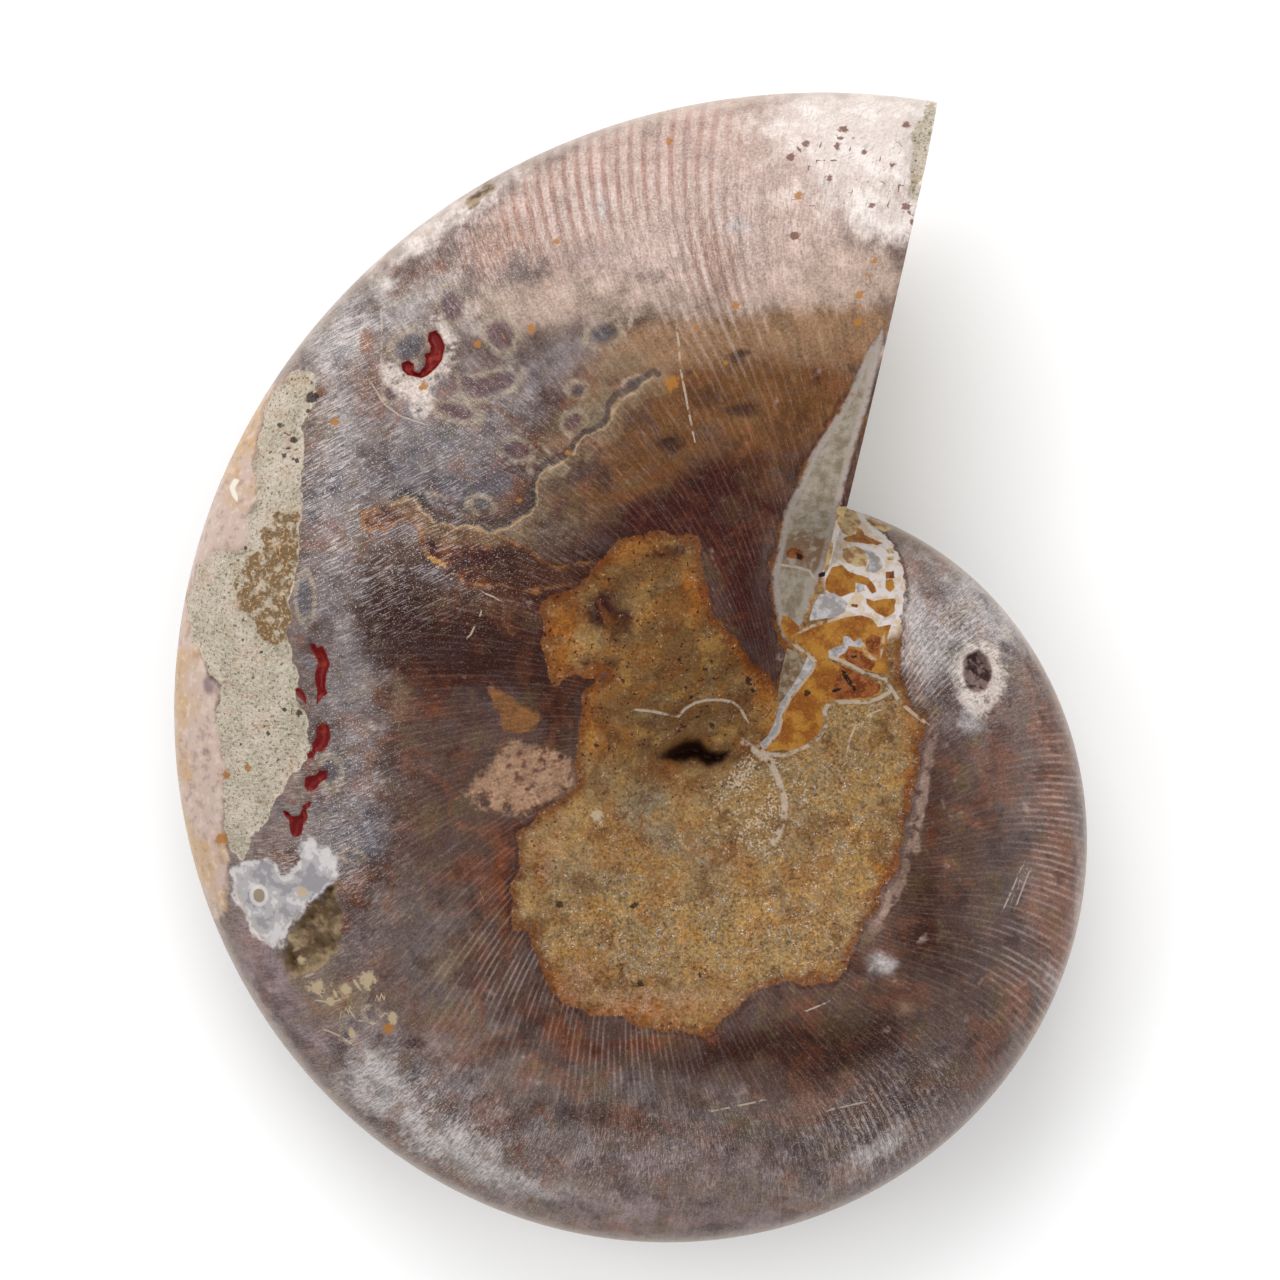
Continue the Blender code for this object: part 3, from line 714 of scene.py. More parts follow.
# Soft-edged coats of the shell in the order they are laid. Each has the colour that is seen, then its places:
# middle, half length and half width in pixels, bearing in degrees and strength.
SHELL_COATS = {
    "earth": ((116, 101, 96), [
        (410, 930, 70, 60, 0, 0.9), (600, 1088, 120, 26, 0, 0.9), (470, 1020, 70, 30, 140, 0.8),
        (760, 1120, 90, 26, 10, 0.7), (340, 950, 40, 50, 0, 0.6),
    ]),
    "cocoa": ((100, 80, 74), [
        (900, 1085, 90, 40, 35, 0.95), (960, 1030, 60, 50, 50, 0.9), (1000, 940, 40, 70, 0, 0.7),
        (1000, 760, 50, 80, 0, 0.6),
    ]),
    "espresso": ((66, 44, 37), [
        (490, 640, 90, 46, 5, 0.95), (560, 582, 80, 22, 10, 0.95), (590, 560, 40, 20, 0, 0.8),
        (552, 680, 46, 50, 0, 0.9), (440, 650, 60, 60, 0, 0.8), (560, 745, 20, 50, 0, 0.6),
        (850, 1050, 80, 26, 25, 0.95), (760, 1045, 110, 24, 12, 0.8), (940, 945, 40, 50, 50, 0.8),
        (385, 610, 40, 56, 0, 0.9), (920, 890, 24, 40, 30, 0.6), (410, 820, 40, 30, 0, 0.3),
        (930, 800, 20, 70, 0, 0.5),
    ]),
    "tan": ((152, 118, 90), [
        (740, 345, 170, 40, 4, 1.0), (800, 332, 100, 28, 3, 0.95), (640, 350, 50, 22, 20, 0.7),
        (862, 340, 30, 24, 0, 0.9), (620, 440, 40, 34, 45, 0.5), (600, 285, 70, 18, 15, 0.5),
        (460, 960, 40, 26, 40, 0.4), (560, 810, 40, 14, 10, 0.4), (450, 745, 34, 16, 20, 0.3),
    ]),
    "beige": ((183, 159, 144), [
        (730, 292, 170, 26, 4, 0.95), (560, 298, 70, 24, 20, 0.9), (800, 262, 90, 30, 0, 0.9),
        (730, 285, 50, 24, 0, 0.7), (500, 300, 50, 20, 20, 0.6), (440, 275, 30, 14, 40, 0.6),
        (862, 275, 34, 30, 0, 0.85),
    ]),
    "walnut": ((113, 78, 51), [
        (780, 395, 100, 34, 3, 1.0), (700, 400, 70, 38, 15, 0.95), (660, 450, 60, 50, 40, 0.9),
        (830, 420, 26, 50, 75, 0.9), (610, 500, 60, 30, 30, 0.8), (760, 455, 70, 40, 60, 0.9),
    ]),
    "chestnut": ((70, 42, 31), [
        (715, 485, 70, 30, 20, 0.95), (690, 525, 60, 26, 0, 0.9), (738, 560, 30, 60, 20, 0.95),
        (752, 625, 22, 50, 25, 0.9), (780, 510, 14, 40, 75, 0.6), (640, 520, 60, 20, 20, 0.8),
    ]),
    "maroon": ((104, 62, 47), [
        (508, 890, 16, 60, 0, 0.95), (520, 830, 30, 14, 0, 0.6), (436, 705, 18, 30, 0, 0.55),
        (560, 1030, 50, 13, 150, 0.7), (470, 970, 18, 34, 150, 0.5), (357, 901, 12, 9, 0, 0.9),
        (344, 924, 7, 12, 0, 0.95), (820, 376, 14, 10, 0, 0.5), (640, 1045, 80, 10, 5, 0.7),
        (930, 820, 10, 60, 0, 0.5), (415, 1030, 20, 24, 0, 0.4), (385, 985, 30, 40, 0, 0.5),
        (505, 622, 20, 16, 0, 0.6), (440, 880, 60, 20, 20, 0.35), (310, 630, 7, 12, 0, 0.5),
    ]),
    # rose_and_sheen: pinkish nacre of the upper whorl with painted sheen of the light above, and a painted
    # reflection in a strip along the right rim
    "rose_and_sheen": ((203, 176, 165), [
        (600, 185, 90, 40, 25, 0.95), (690, 150, 70, 50, 10, 0.9), (700, 210, 60, 50, 0, 0.9),
        (530, 215, 60, 26, 35, 0.85), (770, 190, 60, 60, 0, 0.8), (740, 262, 50, 36, 0, 0.7),
        (640, 240, 80, 40, 20, 0.8), (780, 165, 220, 100, 5, 0.98), (1078, 900, 5, 90, 0, 0.6),
    ]),
    "clay": ((180, 148, 133), [
        (500, 240, 60, 26, 35, 0.8), (580, 252, 70, 26, 25, 0.5), (714, 262, 34, 60, 10, 0.9),
    ]),
    "rib_pink": ((146, 110, 96), [
        (1052, 930, 24, 70, 15, 0.95), (1056, 830, 22, 90, 0, 0.95), (1020, 1000, 24, 50, 40, 0.6),
        (1050, 740, 20, 50, 10, 0.6),
    ]),
    # pearl_and_sheen: pale nacre by the mouth, with painted sheen of the light above
    "pearl_and_sheen": ((230, 216, 208), [
        (865, 150, 80, 60, 0, 0.95), (905, 118, 60, 30, 0, 0.95), (800, 118, 60, 26, 5, 0.6),
        (890, 220, 26, 50, 80, 0.7), (425, 232, 60, 15, 40, 0.9), (480, 200, 60, 11, 35, 0.7),
        (386, 292, 10, 26, 10, 0.6),
    ]),
    # smoke_and_sheen: pale grey nacre on the upper left, partly painted sheen where that slope faces the
    # light
    "smoke_and_sheen": ((182, 173, 170), [
        (345, 335, 60, 28, 52, 0.95), (425, 298, 50, 26, 45, 0.7), (600, 208, 14, 22, 0, 0.6),
        (735, 225, 22, 11, 0, 0.6), (345, 445, 26, 60, 0, 0.8), (330, 505, 22, 50, 0, 0.7),
        (470, 325, 40, 20, 40, 0.4),
    ]),
    "steel": ((134, 123, 123), [
        (420, 450, 100, 60, 20, 0.95), (333, 570, 24, 90, 0, 0.9), (500, 400, 60, 40, 20, 0.7),
        (350, 740, 34, 110, 0, 0.9), (345, 825, 44, 46, 0, 0.9), (460, 470, 50, 30, 15, 0.7),
        (600, 250, 60, 20, 10, 0.4), (570, 350, 60, 30, 20, 0.6), (360, 1010, 50, 40, 20, 0.5),
        (520, 1125, 120, 26, 160, 0.5), (440, 1080, 50, 30, 140, 0.6), (960, 700, 40, 40, 0, 0.4),
    ]),
    "slate": ((98, 93, 98), [
        (466, 488, 56, 26, 10, 0.95), (312, 520, 9, 50, 0, 0.6), (303, 600, 9, 34, 0, 0.95),
        (308, 650, 12, 26, 0, 0.7), (336, 765, 16, 30, 0, 0.8), (395, 470, 40, 16, 30, 0.5),
        (370, 850, 40, 16, 35, 0.7), (325, 800, 14, 20, 0, 0.6), (440, 580, 40, 16, 0, 0.3),
        (280, 800, 12, 24, 30, 0.7),
    ]),
    "olive": ((132, 114, 94), [
        (600, 400, 50, 28, 45, 0.9), (560, 440, 30, 18, 40, 0.8), (630, 368, 30, 18, 20, 0.5),
        (450, 960, 40, 26, 40, 0.6), (400, 703, 13, 24, 0, 0.7), (372, 756, 9, 9, 0, 0.7),
        (540, 332, 40, 14, 10, 0.4), (950, 935, 14, 50, 30, 0.4), (905, 1010, 16, 12, 0, 0.5),
        (340, 1000, 40, 26, 0, 0.7), (560, 530, 50, 18, 25, 0.5),
    ]),
    "frost": ((192, 184, 182), [
        (400, 1105, 60, 24, 142, 0.9), (470, 1155, 60, 20, 152, 0.8), (560, 1195, 80, 14, 170, 0.6),
        (368, 1070, 30, 24, 0, 0.7), (878, 1148, 56, 14, 35, 0.7),
        (883, 963, 15, 11, 30, 0.95), (930, 645, 40, 46, 45, 0.9), (985, 608, 60, 22, 138, 0.95),
        (866, 376, 46, 8, 66, 0.9),
        (968, 718, 20, 11, 90, 0.8), (914, 615, 8, 50, 5, 0.7), (1062, 1000, 10, 50, 20, 0.5),
    ]),
    "mauve": ((148, 129, 129), [
        (700, 1160, 150, 26, 0, 0.5), (258, 960, 46, 22, 130, 0.9), (640, 1210, 200, 16, 175, 0.6),
        (300, 1030, 50, 20, 130, 0.6), (1000, 620, 30, 16, 130, 0.3),
    ]),
}
# Small marks with firmer edges, laid the same way
SHELL_MARKS = {
    "plum": ((104, 80, 82), [
        (452, 305, 13, 17, 10, 0.95), (500, 333, 14, 18, 30, 0.9), (492, 384, 26, 11, 20, 0.95),
        (470, 384, 14, 5, 140, 0.8), (455, 411, 22, 8, 165, 0.9), (517, 450, 14, 10, 0, 0.9),
        (573, 422, 12, 9, 30, 0.9), (392, 393, 8, 9, 0, 0.8), (540, 470, 9, 7, 0, 0.8),
        (209, 685, 9, 16, 0, 0.8), (206, 752, 9, 8, 0, 0.7), (966, 607, 9, 5, 0, 0.6),
    ]),
    "ink": ((90, 87, 91), [
        (604, 334, 17, 11, 20, 0.9), (578, 390, 10, 7, 0, 0.9), (633, 385, 11, 6, 30, 0.95),
        (410, 347, 19, 13, 35, 0.9), (482, 505, 12, 8, 0, 0.8), (305, 598, 8, 22, 0, 0.9),
        (330, 772, 11, 16, 0, 0.7), (352, 856, 10, 6, 0, 0.8), (290, 905, 9, 14, 50, 0.9),
        (415, 500, 20, 6, 10, 0.6), (560, 470, 8, 6, 0, 0.6), (372, 1014, 9, 6, 0, 0.8),
        (346, 1035, 7, 6, 0, 0.8),
    ]),
    "dun": ((68, 49, 43), [
        (670, 444, 20, 9, 0, 0.95), (703, 436, 10, 5, 0, 0.8), (738, 356, 16, 8, 20, 0.9),
        (509, 886, 9, 44, 0, 0.6), (744, 410, 26, 7, 5, 0.95), (690, 372, 8, 6, 0, 0.7),
        (415, 1044, 20, 8, 0, 0.8), (800, 430, 14, 6, 60, 0.5), (760, 380, 10, 5, 0, 0.5),
        (960, 900, 20, 6, 60, 0.6), (820, 1072, 30, 7, 10, 0.6),
    ]),
    "rust_mark": ((140, 98, 76), [
        (367, 342, 9, 16, 0, 0.95), (440, 268, 12, 9, 0, 0.7), (320, 392, 5, 8, 0, 0.9),
        (590, 640, 9, 6, 0, 0.6), (770, 218, 15, 8, 0, 0.6), (475, 1000, 12, 8, 0, 0.5),
    ]),
    "pale_ring": ((182, 168, 148), [
        (432, 374, 8, 5, 40, 0.5), (512, 312, 26, 4, 10, 0.7), (630, 322, 5, 20, 160, 0.7),
        (545, 448, 5, 14, 30, 0.6), (520, 428, 20, 4, 10, 0.5), (398, 582, 14, 3, 0, 0.5),
        (386, 600, 3, 14, 0, 0.5), (372, 726, 10, 6, 0, 0.7), (1008, 636, 5, 4, 0, 0.8),
        (590, 402, 12, 4, 10, 0.5),
    ]),
}
# The stone of the worn middle, laid the same way
WORN_COATS = {
    "lobe_brown": ((104, 66, 40), [
        (655, 560, 44, 26, 0, 1.0), (615, 585, 40, 24, 0, 0.8), (560, 610, 20, 20, 0, 0.6),
        (690, 600, 20, 30, 0, 0.5),
    ]),
    "sandy": ((164, 128, 94), [
        (655, 1003, 70, 14, 0, 0.9), (575, 980, 20, 20, 0, 0.6), (545, 850, 20, 30, 0, 0.5),
    ]),
    "deep_ochre": ((120, 90, 59), [
        (680, 650, 90, 60, 0, 0.95), (640, 730, 60, 60, 0, 0.95), (720, 700, 60, 50, 0, 0.95),
        (670, 600, 60, 40, 0, 0.9), (740, 740, 40, 20, 0, 0.6),
    ]),
    "rust": ((152, 96, 48), [
        (562, 640, 20, 50, 0, 0.9), (625, 552, 34, 15, 20, 0.8), (694, 590, 14, 40, 15, 0.8),
        (764, 692, 16, 50, 20, 0.8), (592, 705, 12, 40, 0, 0.7), (911, 790, 9, 60, 0, 0.8),
        (650, 1012, 90, 14, 0, 0.8), (540, 870, 13, 50, 0, 0.6), (560, 985, 26, 16, 140, 0.8),
        (888, 880, 10, 40, 35, 0.8), (740, 650, 12, 30, 40, 0.7), (600, 740, 16, 30, 0, 0.5),
        (660, 765, 20, 12, 0, 0.6), (620, 840, 40, 12, 0, 0.4), (895, 735, 20, 12, 0, 0.5),
    ]),
    "umber": ((62, 38, 28), [
        (606, 618, 30, 20, 0, 1.0), (672, 550, 24, 10, 0, 0.9), (590, 598, 34, 8, 15, 0.7),
        (595, 664, 30, 7, 0, 0.7), (560, 600, 14, 5, 0, 0.6), (640, 575, 40, 8, 0, 0.5),
        (648, 742, 12, 6, 40, 0.7), (652, 720, 14, 8, 30, 0.5),
    ]),
    "grey_stone": ((138, 121, 99), [
        (650, 806, 34, 24, 20, 0.85), (685, 850, 50, 20, 160, 0.7), (590, 885, 40, 30, 0, 0.5),
        (640, 960, 50, 18, 0, 0.5), (800, 790, 20, 40, 0, 0.5), (850, 770, 30, 30, 0, 0.4),
    ]),
    "yellow": ((172, 134, 76), [
        (860, 850, 30, 50, 20, 0.5), (760, 940, 80, 30, 10, 0.4), (640, 900, 40, 20, 0, 0.4),
        (830, 720, 30, 10, 0, 0.5), (880, 760, 20, 30, 0, 0.4),
    ]),
}
# Broad places where a texture is stronger
TEXTURE_PLACES = {
    "right_edge": [(918, 800, 30, 70, 0, 1.0), (885, 905, 26, 40, 30, 1.0), (912, 660, 20, 60, 0, 0.6)],
    "bright_top": [(780, 165, 240, 110, 5, 1.0), (560, 250, 130, 60, 25, 1.0), (720, 315, 190, 50, 5, 1.0)],
    "dark_end": [(560, 582, 70, 30, 0, 1.0), (520, 560, 30, 16, 0, 0.7)],
    "ochre_lip": [(436, 562, 16, 4, 150, 1.0), (468, 527, 34, 3, 178, 0.8), (520, 518, 20, 3, 30, 0.7)],
    "slanted": [
        (330, 480, 110, 130, 0, 1.0), (380, 600, 110, 80, 0, 1.0), (340, 330, 80, 70, 0, 0.9),
        (440, 500, 90, 90, 0, 0.8), (360, 720, 60, 70, 0, 0.5), (860, 130, 70, 50, 0, 0.6),
    ],
    "ribbed": [
        (715, 265, 50, 80, 10, 1.0), (600, 180, 110, 50, 25, 0.75), (935, 660, 34, 60, 140, 1.0),
        (1055, 830, 26, 90, 0, 0.7), (1030, 980, 40, 60, 30, 0.6), (880, 1130, 60, 40, 30, 0.6),
        (520, 960, 70, 70, 0, 0.35), (620, 1060, 60, 40, 0, 0.3),
    ],
    "striped": [(600, 185, 110, 46, 25, 1.0), (690, 170, 40, 60, 0, 0.7), (510, 230, 40, 26, 40, 0.7)],
    # glinting: where the painted glints, and the steel-grey blotches, are strongest
    "glinting": [
        (860, 150, 90, 70, 0, 0.9), (700, 230, 160, 70, 10, 0.6), (480, 260, 120, 50, 35, 0.6),
        (350, 340, 60, 50, 50, 0.8), (330, 480, 40, 120, 0, 0.9), (400, 560, 120, 60, 0, 0.6),
        (440, 450, 110, 70, 20, 0.6), (345, 770, 50, 130, 0, 0.7), (300, 880, 50, 50, 0, 0.6),
        (420, 1110, 100, 50, 145, 0.7), (950, 640, 60, 80, 45, 0.7), (890, 1120, 90, 50, 35, 0.5),
        (640, 1150, 220, 50, 0, 0.35),
    ],
    "gritty": [
        (840, 800, 70, 90, 0, 0.9), (760, 930, 140, 60, 0, 1.0), (610, 930, 70, 70, 0, 0.8),
        (640, 840, 60, 40, 0, 0.5),
    ],
    "chalk": [
        (745, 775, 14, 26, 160, 0.9), (748, 830, 16, 30, 0, 0.7), (772, 812, 12, 40, 0, 0.8),
        (724, 790, 10, 30, 150, 0.6), (598, 818, 6, 9, 150, 1.0), (716, 838, 12, 12, 0, 0.5),
        (843, 765, 16, 12, 0, 0.6), (866, 722, 12, 10, 30, 0.5), (800, 790, 22, 24, 0, 0.4),
        (674, 838, 10, 6, 40, 0.6),
    ],
}
FAR_OUTSIDE = -60.0  # pixels from an outline beyond which nothing needs to know how far


def seen_places(points):
    """The picture's pixel for each point of the level coil."""
    scale = CAMERA_DISTANCE / (CAMERA_DISTANCE - points[:, 2]) / PIXEL
    half = PICTURE_SIDE / 2
    return half + (points[:, 0] - VIEW_CENTRE.x) * scale, half - (points[:, 1] - VIEW_CENTRE.y) * scale


def run_distances(px, py, start, end):
    """For each place: the distance to a straight run, and on which side of it the place lies."""
    run_x, run_y = end[0] - start[0], end[1] - start[1]
    from_x, from_y = px - start[0], py - start[1]
    share = np.clip((from_x * run_x + from_y * run_y) / (run_x**2 + run_y**2), 0, 1)
    distance = np.hypot(from_x - share * run_x, from_y - share * run_y)
    return distance, np.sign(run_x * from_y - run_y * from_x)


def depth_inside(px, py, outline):
    """Pixels from each place to an outline, positive inside it."""
    corners = np.array(outline, float)
    low, high = corners.min(0) + FAR_OUTSIDE, corners.max(0) - FAR_OUTSIDE
    near = (px > low[0]) & (px < high[0]) & (py > low[1]) & (py < high[1])
    x, y = px[near], py[near]
    nearest = np.full(x.shape, -FAR_OUTSIDE)
    inside = np.zeros(x.shape, bool)
    for start, end in zip(outline, outline[1:] + outline[:1]):
        nearest = np.minimum(nearest, run_distances(x, y, start, end)[0])
        if start[1] != end[1]:
            crossing = start[0] + (y - start[1]) * (end[0] - start[0]) / (end[1] - start[1])
            inside ^= ((start[1] > y) != (end[1] > y)) & (x < crossing)
    result = np.full(px.shape, FAR_OUTSIDE)
    result[near] = np.where(inside, nearest, -nearest)
    return result


def depth_in_any(px, py, outlines):
    result = np.full(px.shape, FAR_OUTSIDE)
    for outline in outlines:
        result = np.maximum(result, depth_inside(px, py, outline))
    return result


def line_places(px, py, lines):
    """For each place: pixels to the nearest line, and half widths from its middle, signed for the side."""
    reach = np.full(px.shape, -FAR_OUTSIDE)
    sided = np.full(px.shape, -FAR_OUTSIDE)
    for half_width, line in lines:
        for start, end in zip(line, line[1:]):
            distance, side = run_distances(px, py, start, end)
            nearer = distance < reach
            reach = np.where(nearer, distance, reach)
            sided = np.where(nearer, distance * side / half_width, sided)
    return reach, sided


def tint_share(px, py, places):
    """0 to 1: how strongly soft-edged places cover each point."""
    left = np.ones(px.shape)
    for x, y, length, width, bearing, strength in places:
        cos, sin = math.cos(math.radians(bearing)), math.sin(math.radians(bearing))
        along = (px - x) * cos - (py - y) * sin
        across = (px - x) * sin + (py - y) * cos
        left *= 1 - strength * np.exp(-((along / length) ** 2) - (across / width) ** 2)
    return 1 - left


def spot_offsets(px, py, spots):
    """For each place: its offset from the middle of the nearest spot, in radii of that spot."""
    middles = np.array(spots, float)
    away = np.hypot(px[:, None] - middles[:, 0], py[:, None] - middles[:, 1])
    x, y, radius = middles[away.argmin(1)].T
    return np.stack([(px - x) / radius, (py - y) / radius, np.zeros(px.shape)], 1)


def smooth(values):
    values = np.clip(values, 0, 1)
    return values * values * (3 - 2 * values)


def rough_field(points, scale, octaves, seed):
    """Fractal noise about zero at each point; scale is the size of its largest lumps in metres."""
    offset = Vector((seed * 17.3, seed * 5.1, seed * 9.7))
    return np.array([noise.fractal(Vector(p) / scale + offset, 1.0, 2.0, octaves) for p in points.tolist()])


def growth_places(shell, points, turns):
    """For each point: growth lines counted along the coil, and how far out it lies as a share of the keel."""
    first, last = cut_bearings(shell)
    aimed = np.radians(first + (last - first) * turns)
    bearing = np.arctan2(points[:, 1], points[:, 0])
    bearing = aimed + (bearing - aimed + math.pi) % math.tau - math.pi
    oval = 1 + OVAL_SHARE * np.cos(2 * (bearing - math.radians(OVAL_BEARING)))
    turned = (math.radians(CUT_BEARING) - bearing) / math.tau
    keel = shell.spiral_radius * oval * shell.expansion**turned
    share = np.maximum(np.hypot(points[:, 0], points[:, 1]), MILLIMETRE) / keel
    rise = np.log(share)
    swept = GROWTH_LEAN * rise - GROWTH_SWEEP * np.maximum(rise + SWEEP_START, 0) ** 2
    return (bearing - swept) / math.tau * shell.growth_lines, share


# Areas whose edges wander a little, and areas drawn exactly
FLANK_AREAS = {
    "worn": [WORN_MIDDLE],
    "matrix": [MATRIX_PATCH, CORNER_STONE],
    "stain": [BROWN_STAIN],
    "brown_red": [BROWN_RED_PATCH],
    "rim": [SHELL_RIM],
    "hollow": [BROKEN_HOLLOW, KEEL_CHIP],
    "triangle": [TRIANGLE_MARK],
    "pink_mark": [PINK_MARK],
    "scar": [OVAL_SCAR],
    "halo": HALOS,
}
CRISP_AREAS = {
    "red": RED_MINERAL,
    "amber": AMBER_FILLS,
    "upper_cells": UPPER_CELLS,
    "left_stone": [LEFT_STONE],
    "brown_cells": BROWN_CELLS,
    "blue_grey": BLUE_GREY_CELLS,
    "gaps": BLACK_GAPS,
    "band": [CUT_BAND],
    "band_brown": [BAND_BROWN],
    "pit": [UMBILICUS],
    "round_pit": [ROUND_PIT],
    "crescent": [WHITE_CRESCENT],
}
LINE_VALUES = ("line_reach", "line_side", "edge_reach", "edge_side")
VALUE_NAMES = (
    *FLANK_AREAS, *CRISP_AREAS, *LINE_VALUES, *SHELL_COATS, *SHELL_MARKS, *WORN_COATS, *TEXTURE_PLACES,
    "growth", "share",
)
EDGE_WANDER = 6.0  # pixels
WANDER_LENGTH = 0.0012  # metres


def pack_of(name):
    """The mesh attribute that holds a named value, and which of its three numbers that value is."""
    index = VALUE_NAMES.index(name)
    return f"values_{index // 3}", "XYZ"[index % 3]


def area_depths(shell, points, turns, upper):
    """Named values for each point of the level coil, from its place in the picture.

    The under flank has the coats, and counts as outside every outline and away from every line.
    """
    px, py = seen_places(points)
    x = px + EDGE_WANDER * rough_field(points, WANDER_LENGTH, 3, 1)
    y = py + EDGE_WANDER * rough_field(points, WANDER_LENGTH, 3, 4)
    depths = {name: depth_in_any(x, y, outlines) for name, outlines in FLANK_AREAS.items()}
    depths |= {name: depth_in_any(px, py, outlines) for name, outlines in CRISP_AREAS.items()}
    depths = {name: np.where(upper, depth, FAR_OUTSIDE) for name, depth in depths.items()}
    reach, sided = line_places(px, py, PALE_LINES)
    edge_reach, edge_side = line_places(x, y, [(1.0, LAYER_EDGE)])
    lines = {"line_reach": reach, "line_side": sided, "edge_reach": edge_reach, "edge_side": edge_side}
    for name, value in lines.items():
        depths[name] = np.where(upper, value, -FAR_OUTSIDE)
    for coats in (SHELL_COATS, SHELL_MARKS, WORN_COATS):
        for name, (_, places) in coats.items():
            depths[name] = tint_share(px, py, places)
    for name, places in TEXTURE_PLACES.items():
        depths[name] = tint_share(px, py, places)
    depths["growth"], depths["share"] = growth_places(shell, points, turns)
    return depths


def vertex_places(mesh):
    values = np.empty(len(mesh.vertices) * 3, np.float32)
    mesh.vertices.foreach_get("co", values)
    return values.reshape(-1, 3).astype(float)


def vertex_values(mesh, name):
    values = np.empty(len(mesh.vertices), np.float32)
    mesh.attributes[name].data.foreach_get("value", values)
    return values.astype(float)


# Areas that lie lower than the whole shell: depth in metres, how far outside the outline the slope starts and
# how long it is in pixels, and the share of the depth that the grain adds or takes away
PRESSED_IN = {
    "worn": (0.00025, 3.0, 6.0, 0.25),
    "matrix": (0.00036, 3.5, 7.0, 0.35),
    "pit": (0.0013, 2.0, 12.0, 0.0),
    "round_pit": (0.0009, 2.0, 10.0, 0.4),
    "hollow": (0.0006, 3.0, 10.0, 0.7),
    "red": (0.00035, 2.0, 6.0, 0.0),
    "halo": (0.00012, 6.0, 12.0, 0.0),
    "scar": (0.00010, 2.0, 4.0, 0.0),
}
GRAIN_LENGTH = 0.0007  # metres
SWELL_HEIGHT = 0.00006  # of the whole shell's slow waves, in metres
SWELL_LENGTH = 0.009
LAYER_STEP = 0.00028  # how far the shell drops at the layer's edge, in metres
LAYER_SLOPE = 5.0  # pixels
LAYER_REACH = 26.0  # pixels in which the drop fades away
KEEL_CLEAR = 0.0015  # height off the middle plane, in metres, at which a flank takes its full relief


def lowering(points, depths):
    """How far each point of a flank sinks below the whole shell, in metres."""
    grain = rough_field(points, GRAIN_LENGTH, 3, 3)
    lower = -SWELL_HEIGHT * rough_field(points, SWELL_LENGTH, 2, 2)
    for name, (depth, start, slope, grainy) in PRESSED_IN.items():
        lower += depth * smooth((depths[name] + start) / slope) * (1 + grainy * grain)
    past_edge = smooth(0.5 + depths["edge_side"] / LAYER_SLOPE)
    return lower + LAYER_STEP * past_edge * np.exp(-((depths["edge_reach"] / LAYER_REACH) ** 2))


BUILDING_VALUES = ("turn", "ring", "side", "lower_half")  # attributes that only the building steps need


def sculpt(shell, mesh):
    """Presses in worn areas and hollows, sets the coil down, and returns the named values that it stores."""
    points = vertex_places(mesh)
    side = vertex_values(mesh, "side")
    depths = area_depths(shell, points, vertex_values(mesh, "turn"), side > 0)
    coil = (points / MILLIMETRE).astype(np.float32)
    places = seen_places(points)
    hidden = np.where(side > 0, 0.0, -FAR_OUTSIDE)[:, None]
    spots = {name: spot_offsets(*places, listed) + hidden for name, listed in SPOTS.items()}
    keel_free = smooth(np.abs(points[:, 2]) / KEEL_CLEAR)
    points[:, 2] -= side * keel_free * lowering(points, depths)
    tipped = points @ np.array(rest_turn().to_3x3()).T
    level = float(tipped[:, 2].min()) + FLAT_DEPTH
    tipped[:, 2] = np.maximum(tipped[:, 2] - level, 0.0)
    middle = (tipped.min(0) + tipped.max(0)) / 2
    tipped[:, :2] -= middle[:2]
    mesh.vertices.foreach_set("co", tipped.astype(np.float32).reshape(-1))
    shell.pole_at_rest = (-middle[0], -middle[1], -level)
    for name in BUILDING_VALUES:
        mesh.attributes.remove(mesh.attributes[name])
    vectors = {"coil": coil, **spots}
    for index, name in enumerate(VALUE_NAMES):
        packed = vectors.setdefault(pack_of(name)[0], np.zeros(points.shape))
        packed[:, index % 3] = depths[name]
    for name, values in vectors.items():
        layer = mesh.attributes.new(name, "FLOAT_VECTOR", "POINT")
        layer.data.foreach_set("vector", values.astype(np.float32).reshape(-1))
    return depths


def rest_turn():
    """Turns the level coil onto its resting flat."""
    about_x = Matrix.Rotation(math.radians(TIP_ABOUT_X), 4, "X")
    return about_x @ Matrix.Rotation(math.radians(TIP_ABOUT_Y), 4, "Y")


def paint_for(red, green, blue):
    """The paint that is seen as these 0 to 255 numbers of a colour picker under the stage's lights."""
    linear = []
    for value in (red, green, blue):
        share = value / 255
        seen = share / 12.92 if share <= 0.04045 else ((share + 0.055) / 1.055) ** 2.4
        linear.append(max(seen - VEIL, 0.002) / LIGHT_GAIN)
    return (*linear, 1.0)


